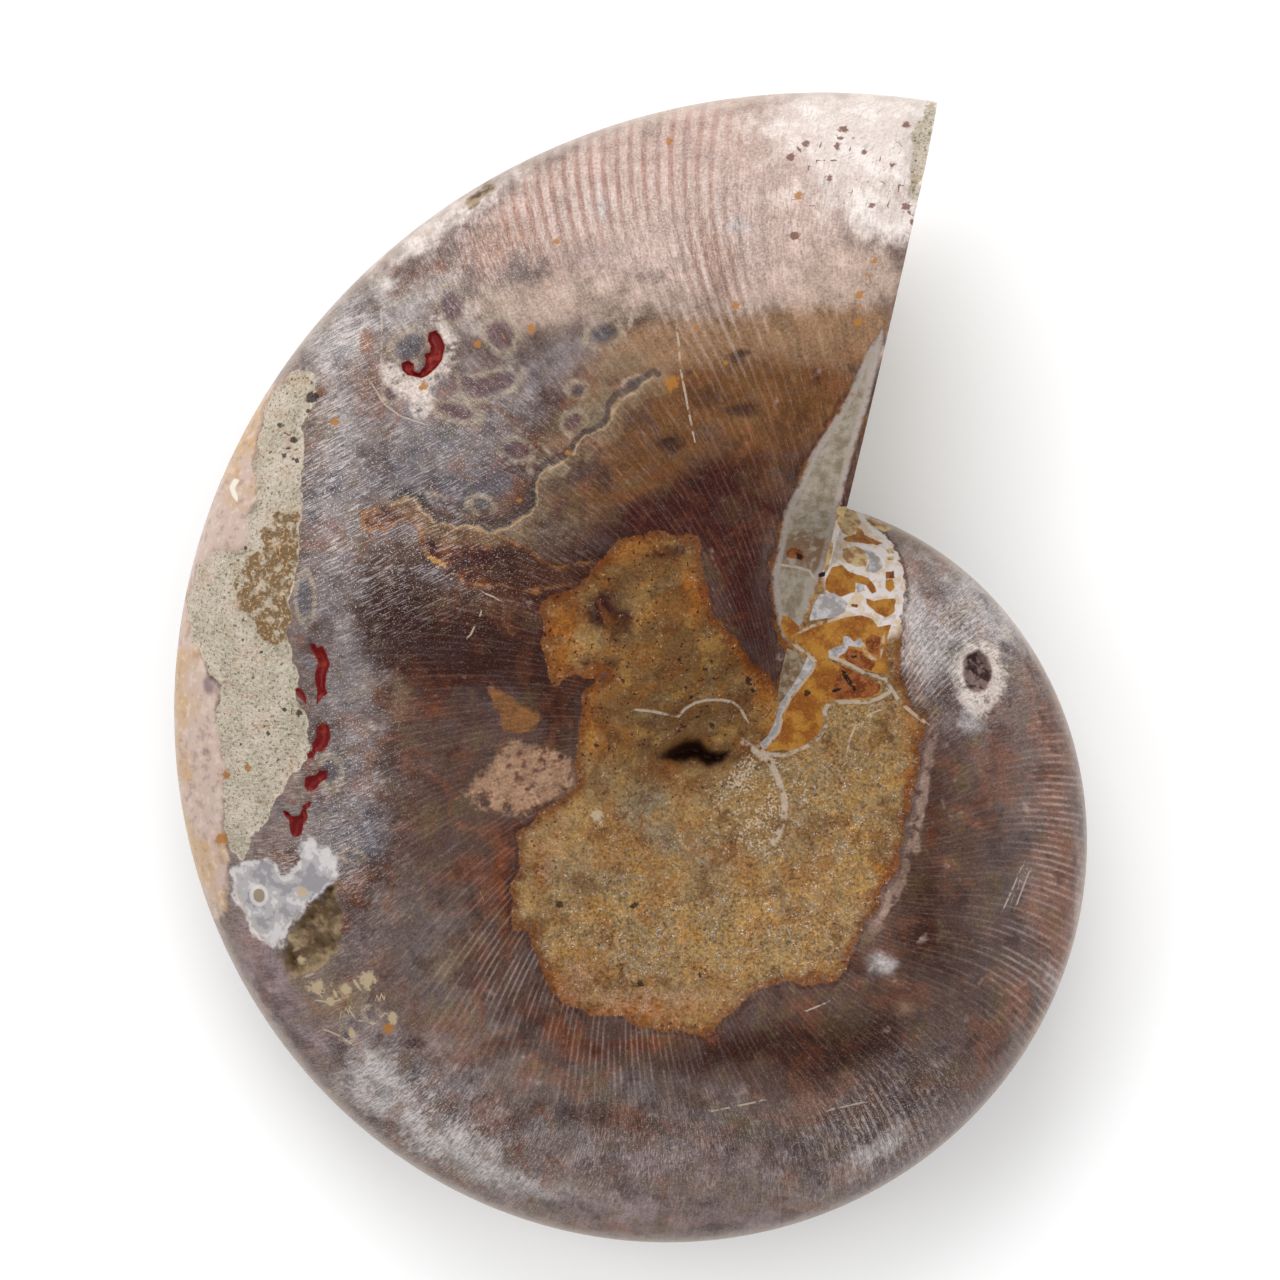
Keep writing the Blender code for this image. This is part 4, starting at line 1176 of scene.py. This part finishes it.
class Finish:
    """Builds one material's nodes: areas read from the mesh, noise on the level coil, and coats of colour."""

    def __init__(self, name, base):
        self.material = bpy.data.materials.new(name)
        self.material.use_nodes = True
        self.tree = self.material.node_tree
        self.shader = self.tree.nodes["Principled BSDF"]
        self.coil = node_with(self.tree, "ShaderNodeAttribute", attribute_name="coil").outputs["Vector"]
        split = node_with(self.tree, "ShaderNodeSeparateXYZ", {"Vector": self.coil})
        self.x, self.y, self.z = (Term(self.tree, socket) for socket in split.outputs)
        self.packs = {}
        self.colour = base

    def area(self, name):
        pack, letter = pack_of(name)
        if pack not in self.packs:
            vector = node_with(self.tree, "ShaderNodeAttribute", attribute_name=pack).outputs["Vector"]
            self.packs[pack] = node_with(self.tree, "ShaderNodeSeparateXYZ", {"Vector": vector})
        return Term(self.tree, self.packs[pack].outputs[letter])

    def vector(self, x, y, z):
        return node_with(self.tree, "ShaderNodeCombineXYZ", {"X": x, "Y": y, "Z": z}).outputs[0]

    def noise(self, size, detail=2.0, roughness=0.5, vector=None, distortion=0.0):
        """Noise about 0.5 whose lumps are about size millimetres across."""
        inputs = {
            "Vector": self.coil if vector is None else vector,
            "Scale": 1.0 / size,
            "Detail": detail,
            "Roughness": roughness,
            "Distortion": distortion,
        }
        return Term(self.tree, node_with(self.tree, "ShaderNodeTexNoise", inputs).outputs["Fac"])

    def along(self, bearing, length, width):
        """Coordinates drawn out along a bearing, for scratches and flecks."""
        cos, sin = math.cos(math.radians(bearing)), math.sin(math.radians(bearing))
        lengthwise = (self.x * cos + self.y * sin) / length
        return self.vector(lengthwise, (self.y * cos - self.x * sin) / width, self.z / length)

    def out_of_spot(self, name):
        """How far out each point lies in the nearest of the named spots: 1 at the spot's edge."""
        offset = node_with(self.tree, "ShaderNodeAttribute", attribute_name=name).outputs["Vector"]
        away = node_with(self.tree, "ShaderNodeVectorMath", operation="LENGTH")
        self.tree.links.new(offset, away.inputs[0])
        return Term(self.tree, away.outputs["Value"])

    def mixed(self, under, over, share):
        """One colour over another. The colour sockets share their names with others, so they go by index."""
        node = node_with(self.tree, "ShaderNodeMix", {"Factor": share}, data_type="RGBA")
        plug(self.tree, node.inputs[6], under)
        plug(self.tree, node.inputs[7], over)
        return node.outputs[2]

    def blend(self, under, over, share):
        """The same, for colours given as they are seen."""
        return self.mixed(paint_for(*under), paint_for(*over), share)

    def coat(self, colour, share):
        """Lays a colour over what is there."""
        self.colour = self.mixed(self.colour, colour, share)

    def tint(self, seen, share):
        """The same, for a colour given as it is seen."""
        self.coat(paint_for(*seen), share)

    def lay(self, coats, jitter, blur, within=1.0):
        """Lays named coats one after another, their edges broken up by the jitter."""
        for name, (seen, _) in coats.items():
            cover = (self.area(name) + jitter).within(0.5 - blur, 0.5 + blur)
            self.tint(seen, cover * within)

    def speckle(self, light, dark, field, spread, amount):
        """Light and dark grain where the field leaves its middle."""
        self.tint(light, field.within(0.5 + spread, 0.5 + spread * 3) * amount)
        self.tint(dark, field.below(0.5 - spread * 3, 0.5 - spread) * amount)

    def shade(self, change):
        """Brightens the colour by a share of itself and keeps its hue. A negative share darkens it."""
        node = node_with(self.tree, "ShaderNodeVectorMath", operation="SCALE")
        plug(self.tree, node.inputs[0], self.colour)
        plug(self.tree, node.inputs["Scale"], (change + 1).math("MAXIMUM", 0.3).math("MINIMUM", 1.9))
        self.colour = node.outputs["Vector"]

    def finished(self, roughness, height):
        """Sets the colour, the roughness and the relief, whose height is in millimetres."""
        plug(self.tree, self.shader.inputs["Base Color"], self.colour)
        plug(self.tree, self.shader.inputs["Roughness"], roughness)
        self.shader.inputs["Specular IOR Level"].default_value = POLISH
        bump = node_with(self.tree, "ShaderNodeBump", {"Height": height, "Distance": MILLIMETRE})
        self.tree.links.new(bump.outputs["Normal"], self.shader.inputs["Normal"])
        return self.material


POLISH = 0.14  # specular level of the shell and the stone
# Ovals of the picture: middle, half width and half height in pixels
SCAR_PIT = (267, 890, 6, 7)
SCAR_PIT_RIM = (267, 890, 10, 11)
SUTURES = (866, 566, 50, 78)
# Colours as they are seen: two to blend for each kind of chamber, and one for each kind of spot
CELL_COLOURS = {
    "upper_cells": ((204, 180, 132), (166, 124, 88)),
    "left_stone": ((158, 142, 120), (120, 98, 76)),
    "brown_cells": ((150, 92, 58), (116, 64, 42)),
    "blue_grey": ((194, 188, 190), (156, 150, 148)),
    "gaps": ((48, 28, 20), (48, 28, 20)),
}
SPOT_COLOURS = {
    "brown_spots": (120, 76, 62),
    "orange_spots": (176, 120, 62),
    "cream_spots": (196, 176, 144),
    "dark_holes": (48, 38, 28),
}


class ShellFinish(Finish):
    """The polished shell: coats of colour from the outside of the coil to the worn middle."""

    def __init__(self, name, shell):
        super().__init__(name, (*shell.inner_brown, 1.0))
        self.shell = shell
        self.growth, self.share = self.area("growth"), self.area("share")
        self.ragged = (self.noise(0.35, 2.0, 0.6) - 0.5) * 5
        self.broad = self.noise(5.0, 3.0, 0.55)
        self.patchy = self.noise(1.6, 3.0, 0.62)
        self.mottle = self.noise(0.7, 2.0, 0.65)
        self.fine = self.noise(0.16, 1.0, 0.6)
        # Fine noise for the painted glints
        self.glint_noise = self.noise(0.09, 0.0, 0.5)
        self.warm = self.noise(3.4, 3.0, 0.6, distortion=1.2)
        self.tone = self.noise(2.2, 3.0, 0.6)
        self.grit = self.noise(0.21, 2.0, 0.75)
        self.pores = self.noise(0.30, 1.0, 0.6)
        drawn_out = self.vector(self.growth * 0.9, self.share * 14.0, self.z * 0.1)
        self.streak = self.noise(1.0, 2.0, 0.6, drawn_out)
        radial = self.noise(1.0, 0.0, 0.5, self.vector(self.growth * 7.0, self.share * 70.0, self.z))
        slanted = self.noise(1.0, 0.0, 0.5, self.along(26, 0.75, 0.075))
        self.flecks = either(self.area("slanted"), slanted, radial)
        self.crest = ((self.growth * math.tau).math("COSINE") + 1) * 0.5
        self.in_worn = self.inside("worn")
        self.in_matrix = self.inside("matrix")

    def inside(self, name, edge=0.8, rough=1.0):
        """1 inside a named area, with a ragged edge."""
        return (self.area(name) + self.ragged * rough).within(-edge, edge)

    def shell_colours(self):
        self.coat((*self.shell.outer_brown, 1.0), (self.share + (self.broad - 0.5) * 0.5).within(0.6, 0.9))
        jitter = (self.patchy - 0.5) * 1.0
        self.lay(SHELL_COATS, jitter, 0.36)
        darkest = self.area("espresso").math("MAXIMUM", self.area("chestnut"))
        blotched = self.area("bright_top").below(0.1, 0.6) * (1 - darkest * 0.65)
        bluish = self.area("glinting") * 0.3 + 0.14
        self.tint((142, 88, 62), self.warm.within(0.52, 0.64) * blotched * 0.34)
        self.tint((90, 94, 108), self.warm.below(0.36, 0.48) * blotched * bluish)
        self.tint((120, 104, 72), self.tone.within(0.54, 0.64) * blotched * 0.30)
        self.tint((62, 42, 38), self.tone.below(0.36, 0.47) * blotched * 0.40)
        self.tint((152, 140, 136), self.patchy.within(0.54, 0.64) * blotched * self.area("glinting") * 0.35)
        # Painted sheen: near-white flecks over the pale nacre by the mouth
        self.tint((244, 236, 230), self.patchy.within(0.50, 0.62) * self.area("pearl_and_sheen") * 0.6)
        for name in ("plum", "ink"):
            ring = (self.area(name) + (self.patchy - 0.5) * 0.6).near(0.26, 0.06, 0.18)
            around = self.area(name).within(0.05, 0.16)
            self.tint((172, 156, 136), ring * around * self.mottle.within(0.30, 0.56) * 0.6)
        self.lay(SHELL_MARKS, (self.mottle - 0.5) * 0.5 + (self.patchy - 0.5) * 0.25, 0.24, 0.85)

    def shell_grain(self):
        glinting = self.area("glinting")
        # The grain is calmer under the painted sheen by the mouth
        calm = 1 - self.area("pearl_and_sheen") * 0.6
        ribs = self.area("ribbed") * 0.5 + 0.04
        striped = self.area("striped") * self.crest.within(0.35, 0.8)
        self.tint((168, 112, 92), striped * self.streak.within(0.3, 0.5) * 0.5)
        self.tint((214, 200, 194), self.crest.below(0.1, 0.45) * ribs * self.streak.within(0.35, 0.6))
        self.tint((70, 54, 52), self.crest.within(0.6, 0.95) * ribs * 0.6)
        grain = (self.broad - 0.5) * 0.5 + (self.patchy - 0.5) * 0.8 + (self.streak - 0.5) * 0.5
        fleck_depth = glinting * 0.6 + 0.38 - self.area("bright_top") * 0.3
        grain = grain + (self.fine - 0.5) * 1.1 + (self.flecks - 0.5) * fleck_depth
        self.shade(grain * calm - 0.03)
        # Painted glints from here on: dark and whitish flecks along the fine scratches where they catch the
        # light, and near-white specks
        scratch_glints = glinting * self.patchy.within(0.34, 0.58) * (1 - self.area("bright_top") * 0.5)
        self.tint((54, 50, 56), self.flecks.below(0.30, 0.44) * scratch_glints * 0.5)
        self.tint((224, 218, 218), self.flecks.within(0.56, 0.70) * scratch_glints * 0.55)
        self.tint((206, 178, 160), self.flecks.within(0.64, 0.76) * self.mottle.within(0.45, 0.6) * 0.12)
        self.tint((246, 240, 236), self.glint_noise.within(0.64, 0.76) * (0.04 + glinting * 0.6))

    def keel_reflection_and_rim(self):
        # Painted reflection: a pale band along the keel, standing in for the bright surroundings mirrored
        # there
        keel = (self.share + (self.mottle - 0.5) * 0.03).within(0.965, 1.0)
        self.tint((206, 190, 176), keel * 0.5)
        cream = self.blend((208, 184, 172), (206, 172, 134), self.broad.within(0.45, 0.6))
        rim = self.inside("rim", 4.0)
        self.coat(cream, rim * 0.92)
        self.speckle((222, 204, 190), (160, 136, 128), self.mottle, 0.05, rim * 0.5)
        self.tint((116, 96, 104), rim * (self.area("plum") + self.ragged * 0.06).within(0.4, 0.7) * 0.7)
        self.tint((238, 228, 212), self.area("crescent").within(-0.6, 1.0))

    def grey_stone(self):
        """The stone left on the outer whorl, the brown patch beside it and the scar below."""
        self.coat((*self.shell.stone, 1.0), self.in_matrix)
        inside, sand = self.in_matrix, self.grit
        self.tint((212, 196, 180), inside * self.tone.within(0.48, 0.60) * 0.7)
        self.tint((162, 148, 130), inside * self.tone.below(0.38, 0.50) * 0.3)
        self.tint((190, 160, 134), inside * self.patchy.within(0.54, 0.62) * 0.45)
        self.speckle((222, 214, 202), (112, 98, 78), sand, 0.05, inside * 0.7)
        self.tint((228, 220, 206), inside * self.flecks.within(0.56, 0.68) * 0.35)
        stain = self.inside("stain", 1.5, 2.2) * self.mottle.within(0.36, 0.52)
        self.tint((124, 96, 66), inside * stain * 0.9)
        self.tint((200, 168, 128), inside * self.inside("stain", 6.0, 2.0) * sand.within(0.56, 0.62))
        self.tint((88, 76, 56), inside * self.pores.below(0.27, 0.33) * 0.8)
        in_scar = self.inside("scar", 5.0, 2.4)
        self.tint((190, 186, 187), in_scar * 0.85)
        self.speckle((228, 223, 221), (136, 131, 138), self.patchy, 0.03, in_scar * 0.6)
        pit = self.oval_cover(*SCAR_PIT)
        self.tint((232, 226, 220), self.oval_cover(*SCAR_PIT_RIM) * in_scar * 0.6)
        self.tint((150, 132, 112), pit * in_scar * 0.9)
        rim = self.area("scar").near(1.0, 1.2, 2.2)
        self.tint((222, 216, 214), rim * self.mottle.within(0.40, 0.55) * 0.7)

    def small_marks(self):
        brown = self.blend((68, 38, 24), (116, 68, 36), self.patchy.within(0.34, 0.64))
        in_brown = self.inside("brown_red", 4.0, 2.0) * self.tone.within(0.28, 0.42)
        self.coat(brown, in_brown * 0.85)
        edge = self.area("brown_red").near(1.5, 1.0, 2.5) * self.mottle.within(0.40, 0.55)
        self.tint((172, 120, 72), edge * 0.6)
        self.tint((74, 50, 42), in_brown * self.area("dark_end").within(0.2, 0.7) * 0.9)
        self.tint((198, 150, 92), (self.area("ochre_lip") + (self.fine - 0.5)).within(0.4, 0.7) * 0.8)
        self.tint((134, 92, 58), self.inside("triangle", 2.5, 1.4) * self.mottle.within(0.24, 0.40) * 0.9)
        pink = self.inside("pink_mark", 5.0, 3.0) * self.mottle.within(0.30, 0.52)
        self.coat(self.blend((154, 112, 86), (198, 164, 136), self.patchy), pink * 0.85)
        halo = self.inside("halo", 6.0, 2.4) * self.mottle.within(0.28, 0.48)
        self.tint((226, 212, 202), halo * 0.8)
        beside = self.area("worn").near(-8.0, 5.0, 4.0) * self.area("right_edge")
        self.tint((172, 144, 130), beside * self.mottle.within(0.32, 0.50) * 0.8)
        lip = self.area("worn").near(-2.0, 1.5, 2.5) * self.mottle.within(0.36, 0.50)
        self.tint((70, 44, 34), lip * 0.55)
        layer = self.area("edge_side").near(-9.0, 5.0, 12.0) * self.area("edge_reach").below(12.0, 24.0)
        self.tint((140, 116, 90), layer * self.patchy.within(0.30, 0.52) * 0.55)
        # Painted highlight on the lit bevel of the layer's edge, and painted shade on the lower side beside
        # it
        lip = self.area("edge_side").near(-1.5, 0.8, 1.6) * self.area("edge_reach").below(6.0, 8.0)
        self.tint((186, 156, 120), lip * self.mottle.within(0.36, 0.50) * 0.85)
        shade = self.area("edge_side").near(3.0, 2.0, 4.5) * self.area("edge_reach").below(8.0, 12.0)
        self.tint((60, 50, 50), shade * 0.7)

    def worn_stone(self):
        """The ochre stone of the worn middle."""
        worn, gritty = self.in_worn, self.area("gritty")
        whole_shell = self.colour
        self.coat((*self.shell.ochre, 1.0), 1.0)
        self.lay(WORN_COATS, (self.patchy - 0.5) * 1.2, 0.34)
        open_stone = (1 - self.area("lobe_brown") * 0.7) * (1 - self.area("umber") * 0.8)
        self.tint((154, 100, 50), self.warm.within(0.50, 0.60) * 0.4)
        self.tint((138, 122, 92), self.warm.below(0.36, 0.47) * open_stone * 0.35)
        self.tint((176, 136, 78), self.tone.within(0.54, 0.62) * open_stone * 0.4)
        self.tint((100, 66, 42), self.tone.below(0.38, 0.46) * 0.5)
        self.tint((92, 56, 34), (self.patchy - 0.5).math("ABSOLUTE").below(0.004, 0.016) * 0.45)
        edge = (self.area("worn") + self.ragged * 3).below(2.0, 14.0)
        self.tint((112, 62, 36), edge * (1 - self.area("sandy")) * 0.75)
        self.tint((172, 134, 106), self.area("sandy") * self.mottle.within(0.36, 0.54) * 0.7)
        self.tint((168, 118, 60), gritty * self.pores.within(0.62, 0.70) * 0.6)
        self.tint((126, 114, 104), gritty * self.mottle.within(0.60, 0.66) * 0.6)
        coarse = (self.grit - 0.5) * (gritty * 1.9 + 1.1) + (self.mottle - 0.5) * 0.6
        self.shade(coarse + (self.patchy - 0.5) * 0.6 + (self.fine - 0.5) * 1.0)
        self.tint((58, 38, 24), self.pores.below(0.29, 0.34) * 0.85)
        self.tint((224, 208, 184), self.pores.below(0.31, 0.34) * gritty * 0.35)
        # Painted glints: near-white specks, strongest where the stone is gritty
        glints = self.glint_noise.within(0.66, 0.74) * self.mottle.within(0.50, 0.62)
        self.tint((240, 230, 216), glints * (gritty * 0.7 + 0.15))
        self.colour = self.mixed(whole_shell, self.colour, worn)
        chalk = (self.fine + (self.area("chalk") - 1) * 0.30 + (self.mottle - 0.5) * 0.5).within(0.40, 0.54)
        self.tint((206, 192, 174), worn * chalk * 0.65)

    def saw_band(self):
        """The strip of inner shell along the saw cut, and the chambers beside it."""
        grey = self.blend((168, 158, 144), (134, 120, 102), self.mottle.within(0.3, 0.7))
        self.coat(grey, self.inside("band", 2.5, 1.2))
        self.tint((128, 98, 74), self.inside("band_brown", 5.0, 1.6) * self.mottle.within(0.3, 0.5) * 0.8)
        border = self.area("band").near(2.0, 1.5, 3.5)
        self.tint((184, 172, 168), border * self.mottle.within(0.36, 0.56) * 0.6)
        sutures = self.oval_cover(*SUTURES) * self.in_worn * self.area("band").below(-1.5, 0.0)
        pale = self.blend((222, 213, 211), (212, 190, 164), self.mottle.within(0.46, 0.60))
        self.coat(pale, sutures)
        amber = self.blend((178, 126, 60), (146, 90, 46), self.patchy.within(0.42, 0.6))
        self.coat(amber, self.inside("amber", 0.5, 0.35))
        for name, (light, dark) in CELL_COLOURS.items():
            seen = self.blend(light, dark, self.mottle.within(0.4, 0.6))
            self.coat(seen, self.inside(name, 0.5, 0.35))
        in_amber = self.area("amber").within(-1.0, 1.0)
        self.speckle((196, 148, 88), (112, 70, 38), self.fine, 0.06, in_amber * 0.3)

    def lines_and_spots(self):
        line = self.area("line_side").math("ABSOLUTE").below(0.7, 1.5)
        line = line * self.area("line_reach").below(5.0, 6.5)
        self.tint((196, 180, 164), line * self.mottle.within(0.36, 0.52) * 0.75)
        red = self.blend((116, 36, 36), (142, 58, 50), self.mottle.within(0.52, 0.68))
        self.coat(red, self.inside("red", 0.6, 0.35))
        self.tint((92, 62, 36), (self.area("pit") + self.ragged * 2).within(-14.0, 0.0) * 0.6)
        # Painted shade darkening the inside of the umbilicus hole
        self.tint((48, 30, 19), (self.area("pit") + self.ragged * 1.6).within(-4.0, 4.0) * 0.92)
        self.tint((126, 98, 96), self.inside("round_pit", 2.0) * 0.8)
        self.tint((60, 46, 46), self.inside("round_pit", 2.0) * self.mottle.below(0.42, 0.52) * 0.8)
        hollow = self.inside("hollow", 2.5)
        earthy = self.blend((104, 84, 62), (164, 142, 112), self.patchy.within(0.44, 0.62))
        self.coat(earthy, hollow * (self.mottle.within(0.30, 0.46) * 0.4 + 0.55))
        for name, seen in SPOT_COLOURS.items():
            out = self.out_of_spot(name) + (self.mottle - 0.5) * 2.6 + (self.fine - 0.5) * 1.2
            self.tint(seen, out.below(0.6, 1.25) * 0.85)

    def oval_cover(self, x, y, half_x, half_y):
        """1 in an oval of the picture with a soft, broken edge."""
        off_x = (self.x - (x - POLE_PIXEL[0]) * PIXEL / MILLIMETRE) / (half_x * PIXEL / MILLIMETRE)
        off_y = (self.y - (POLE_PIXEL[1] - y) * PIXEL / MILLIMETRE) / (half_y * PIXEL / MILLIMETRE)
        return ((off_x * off_x + off_y * off_y).math("SQRT") + (self.patchy - 0.5) * 0.3).below(0.9, 1.05)

    def relief(self):
        """Height of the fine relief in millimetres."""
        worn, matrix = self.area("worn").within(-1.0, 3.0), self.area("matrix").within(-1.0, 3.0)
        whole = (1 - worn) * (1 - matrix)
        lirae = self.crest * whole * (0.004 + self.area("ribbed") * 0.014)
        rough = (self.grit - 0.5) * (matrix * 0.16 + worn * 0.08)
        return lirae + rough

    def built(self, steps):
        """Lays the coats of each step in turn and returns the material."""
        for step in steps:
            step(self)
        self.lines_and_spots()
        stone = self.in_matrix.math("MAXIMUM", self.in_worn * 0.6)
        roughness = 0.36 + (self.mottle - 0.5) * 0.2 + (self.flecks - 0.5) * 0.3 + stone * 0.25
        return self.finished(roughness, self.relief())


SHELL_STEPS = (
    ShellFinish.shell_colours, ShellFinish.small_marks, ShellFinish.shell_grain, ShellFinish.keel_reflection_and_rim,
)
MIDDLE_STEPS = (ShellFinish.worn_stone, ShellFinish.saw_band)
STONE_AREAS = (
    "worn", "matrix", "scar", "band", "band_brown", "amber", "upper_cells", "left_stone", "brown_cells",
    "blue_grey", "gaps",
)  # the areas whose coats the open shell leaves out
CLEAR_OF_EDGE = 14.0  # pixels from an outline at which an area's coats have ended


def shell_finishes(shell):
    """The polished finish with every coat, the sawn face's, and two with fewer coats that render faster."""
    return (
        ShellFinish("polished_shell", shell).built((*SHELL_STEPS, ShellFinish.grey_stone, *MIDDLE_STEPS)),
        sawn_finish(),
        ShellFinish("open_shell", shell).built(SHELL_STEPS),
        ShellFinish("worn_middle", shell).built(MIDDLE_STEPS),
    )


def dress(mesh, finishes, depths):
    """Gives each face its finish: one with fewer coats where it lies well away from the areas left out."""
    finish_of = np.empty(len(mesh.polygons), np.int32)
    corners = np.empty(len(mesh.loops), np.int32)
    starts = np.empty(len(mesh.polygons), np.int32)
    mesh.polygons.foreach_get("material_index", finish_of)
    mesh.loops.foreach_get("vertex_index", corners)
    mesh.polygons.foreach_get("loop_start", starts)
    stony = np.max([depths[name] for name in STONE_AREAS], axis=0)
    polished = finish_of == POLISHED
    stoniest = np.maximum.reduceat(stony[corners], starts)
    least_worn = np.minimum.reduceat(depths["worn"][corners], starts)
    finish_of[polished & (stoniest < -CLEAR_OF_EDGE)] = OPEN_SHELL
    finish_of[polished & (least_worn > CLEAR_OF_EDGE)] = WORN_ONLY
    mesh.materials.clear()
    for finish in finishes:
        mesh.materials.append(finish)
    mesh.polygons.foreach_set("material_index", finish_of)


def sawn_finish():
    finish = Finish("sawn_face", paint_for(142, 126, 102))
    finish.tint((176, 158, 128), finish.noise(1.6, 4.0, 0.6).within(0.4, 0.62))
    finish.tint((96, 78, 60), finish.noise(0.3, 3.0, 0.7).within(0.6, 0.7) * 0.8)
    saw_marks = finish.noise(1.0, 2.0, 0.6, finish.along(90, 8.0, 0.25)).within(0.4, 0.7)
    return finish.finished(0.6, (finish.noise(0.3, 3.0, 0.7) - 0.5) * 0.06 - saw_marks * 0.01)


class AMMONITE_OT_shell(bpy.types.Operator):
    """Build the polished shell over the solid ammonite"""

    bl_idname = "ammonite.shell"
    bl_label = "Polished shell"

    def execute(self, context):
        shell = context.scene.ammonite_shell
        finishes = shell_finishes(shell)
        mesh = grown_flanks(shell, finishes[POLISHED])
        close_shell(mesh)
        dress(mesh, finishes, sculpt(shell, mesh))
        mesh.name = "ammonite_shell"
        mesh.shade_smooth()
        mesh.set_sharp_from_angle(angle=math.radians(50))
        piece = bpy.data.objects.new("ammonite_shell", mesh)
        context.scene.collection.objects.link(piece)
        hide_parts("ammonite")
        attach(piece, "root")
        return {"FINISHED"}


class AMMONITE_OT_stage(bpy.types.Operator):
    """Add the floor, the lights, the sky and the camera"""

    bl_idname = "ammonite.stage"
    bl_label = "Floor, lights and camera"

    def execute(self, context):
        stage = context.scene.ammonite_stage
        scene = context.scene
        half = stage.floor_side / 2
        corners = [(-half, -half, 0), (half, -half, 0), (half, half, 0), (-half, half, 0)]
        mesh = bpy.data.meshes.new("floor")
        mesh.from_pydata(corners, [], [(0, 1, 2, 3)])
        floor = bpy.data.objects.new("floor", mesh)
        material = bpy.data.materials.new("floor_paint")
        material.use_nodes = True
        paint = material.node_tree.nodes["Principled BSDF"]
        paint.inputs["Base Color"].default_value = (*stage.floor_colour, 1.0)
        paint.inputs["Roughness"].default_value = 0.9
        paint.inputs["Specular IOR Level"].default_value = 0.1
        mesh.materials.append(material)
        scene.collection.objects.link(floor)
        add_lights(scene)
        add_camera(scene)
        return {"FINISHED"}


SKY_STRENGTH = 0.72
# Soft boxes: name, place in metres, side in metres and power in watts
SOFT_BOXES = (
    ("top_softbox", (-0.10, 0.45, 0.35), 0.40, 2.0),
    ("left_softbox", (-0.45, 0.05, 0.40), 0.35, 0.9),
    ("right_softbox", (0.45, -0.15, 0.40), 0.40, 0.7),
)


def add_lights(scene):
    world = bpy.data.worlds.new("studio")
    world.use_nodes = True
    sky = world.node_tree.nodes["Background"]
    sky.inputs["Color"].default_value = (1.0, 1.0, 1.0, 1.0)
    sky.inputs["Strength"].default_value = SKY_STRENGTH
    scene.world = world
    for name, place, size, power in SOFT_BOXES:
        light = bpy.data.lights.new(name, "AREA")
        light.size = size
        light.energy = power
        holder = bpy.data.objects.new(name, light)
        holder.location = place
        holder.rotation_euler = (-Vector(place)).to_track_quat("-Z", "Y").to_euler()
        scene.collection.objects.link(holder)


def add_camera(scene):
    """Looks at the coil square on, along its own axis as it rests."""
    data = bpy.data.cameras.new("camera")
    data.lens = LENS
    data.sensor_width = SENSOR
    camera = bpy.data.objects.new("camera", data)
    turn = rest_turn()
    place = turn @ (VIEW_CENTRE + Vector((0, 0, CAMERA_DISTANCE)))
    camera.matrix_world = Matrix.Translation(place + Vector(scene.ammonite_shell.pole_at_rest)) @ turn
    scene.collection.objects.link(camera)
    scene.camera = camera


class AMMONITE_PT_build(bpy.types.Panel):
    """Sizes, colours and building steps of the ammonite"""

    bl_label = "Polished ammonite"
    bl_idname = "AMMONITE_PT_build"
    bl_space_type = "VIEW_3D"
    bl_region_type = "UI"
    bl_category = "Ammonite"

    def draw(self, context):
        steps = (
            (context.scene.ammonite_shell, ShellSettings, AMMONITE_OT_shell),
            (context.scene.ammonite_stage, StageSettings, AMMONITE_OT_stage),
        )
        for settings, kind, operator in steps:
            box = self.layout.box()
            for name in kind.__annotations__:
                box.prop(settings, name)
            box.operator(operator.bl_idname)


CLASSES = (ShellSettings, StageSettings, AMMONITE_OT_shell, AMMONITE_OT_stage, AMMONITE_PT_build)


def register():
    for kind in CLASSES:
        bpy.utils.register_class(kind)
    bpy.types.Scene.ammonite_shell = PointerProperty(type=ShellSettings)
    bpy.types.Scene.ammonite_stage = PointerProperty(type=StageSettings)


def unregister():
    del bpy.types.Scene.ammonite_stage
    del bpy.types.Scene.ammonite_shell
    for kind in reversed(CLASSES):
        bpy.utils.unregister_class(kind)


def main():
    register()
    bpy.context.scene.view_settings.view_transform = "Standard"
    bpy.ops.ammonite.shell()
    bpy.ops.ammonite.stage()


if __name__ == "__main__":
    main()
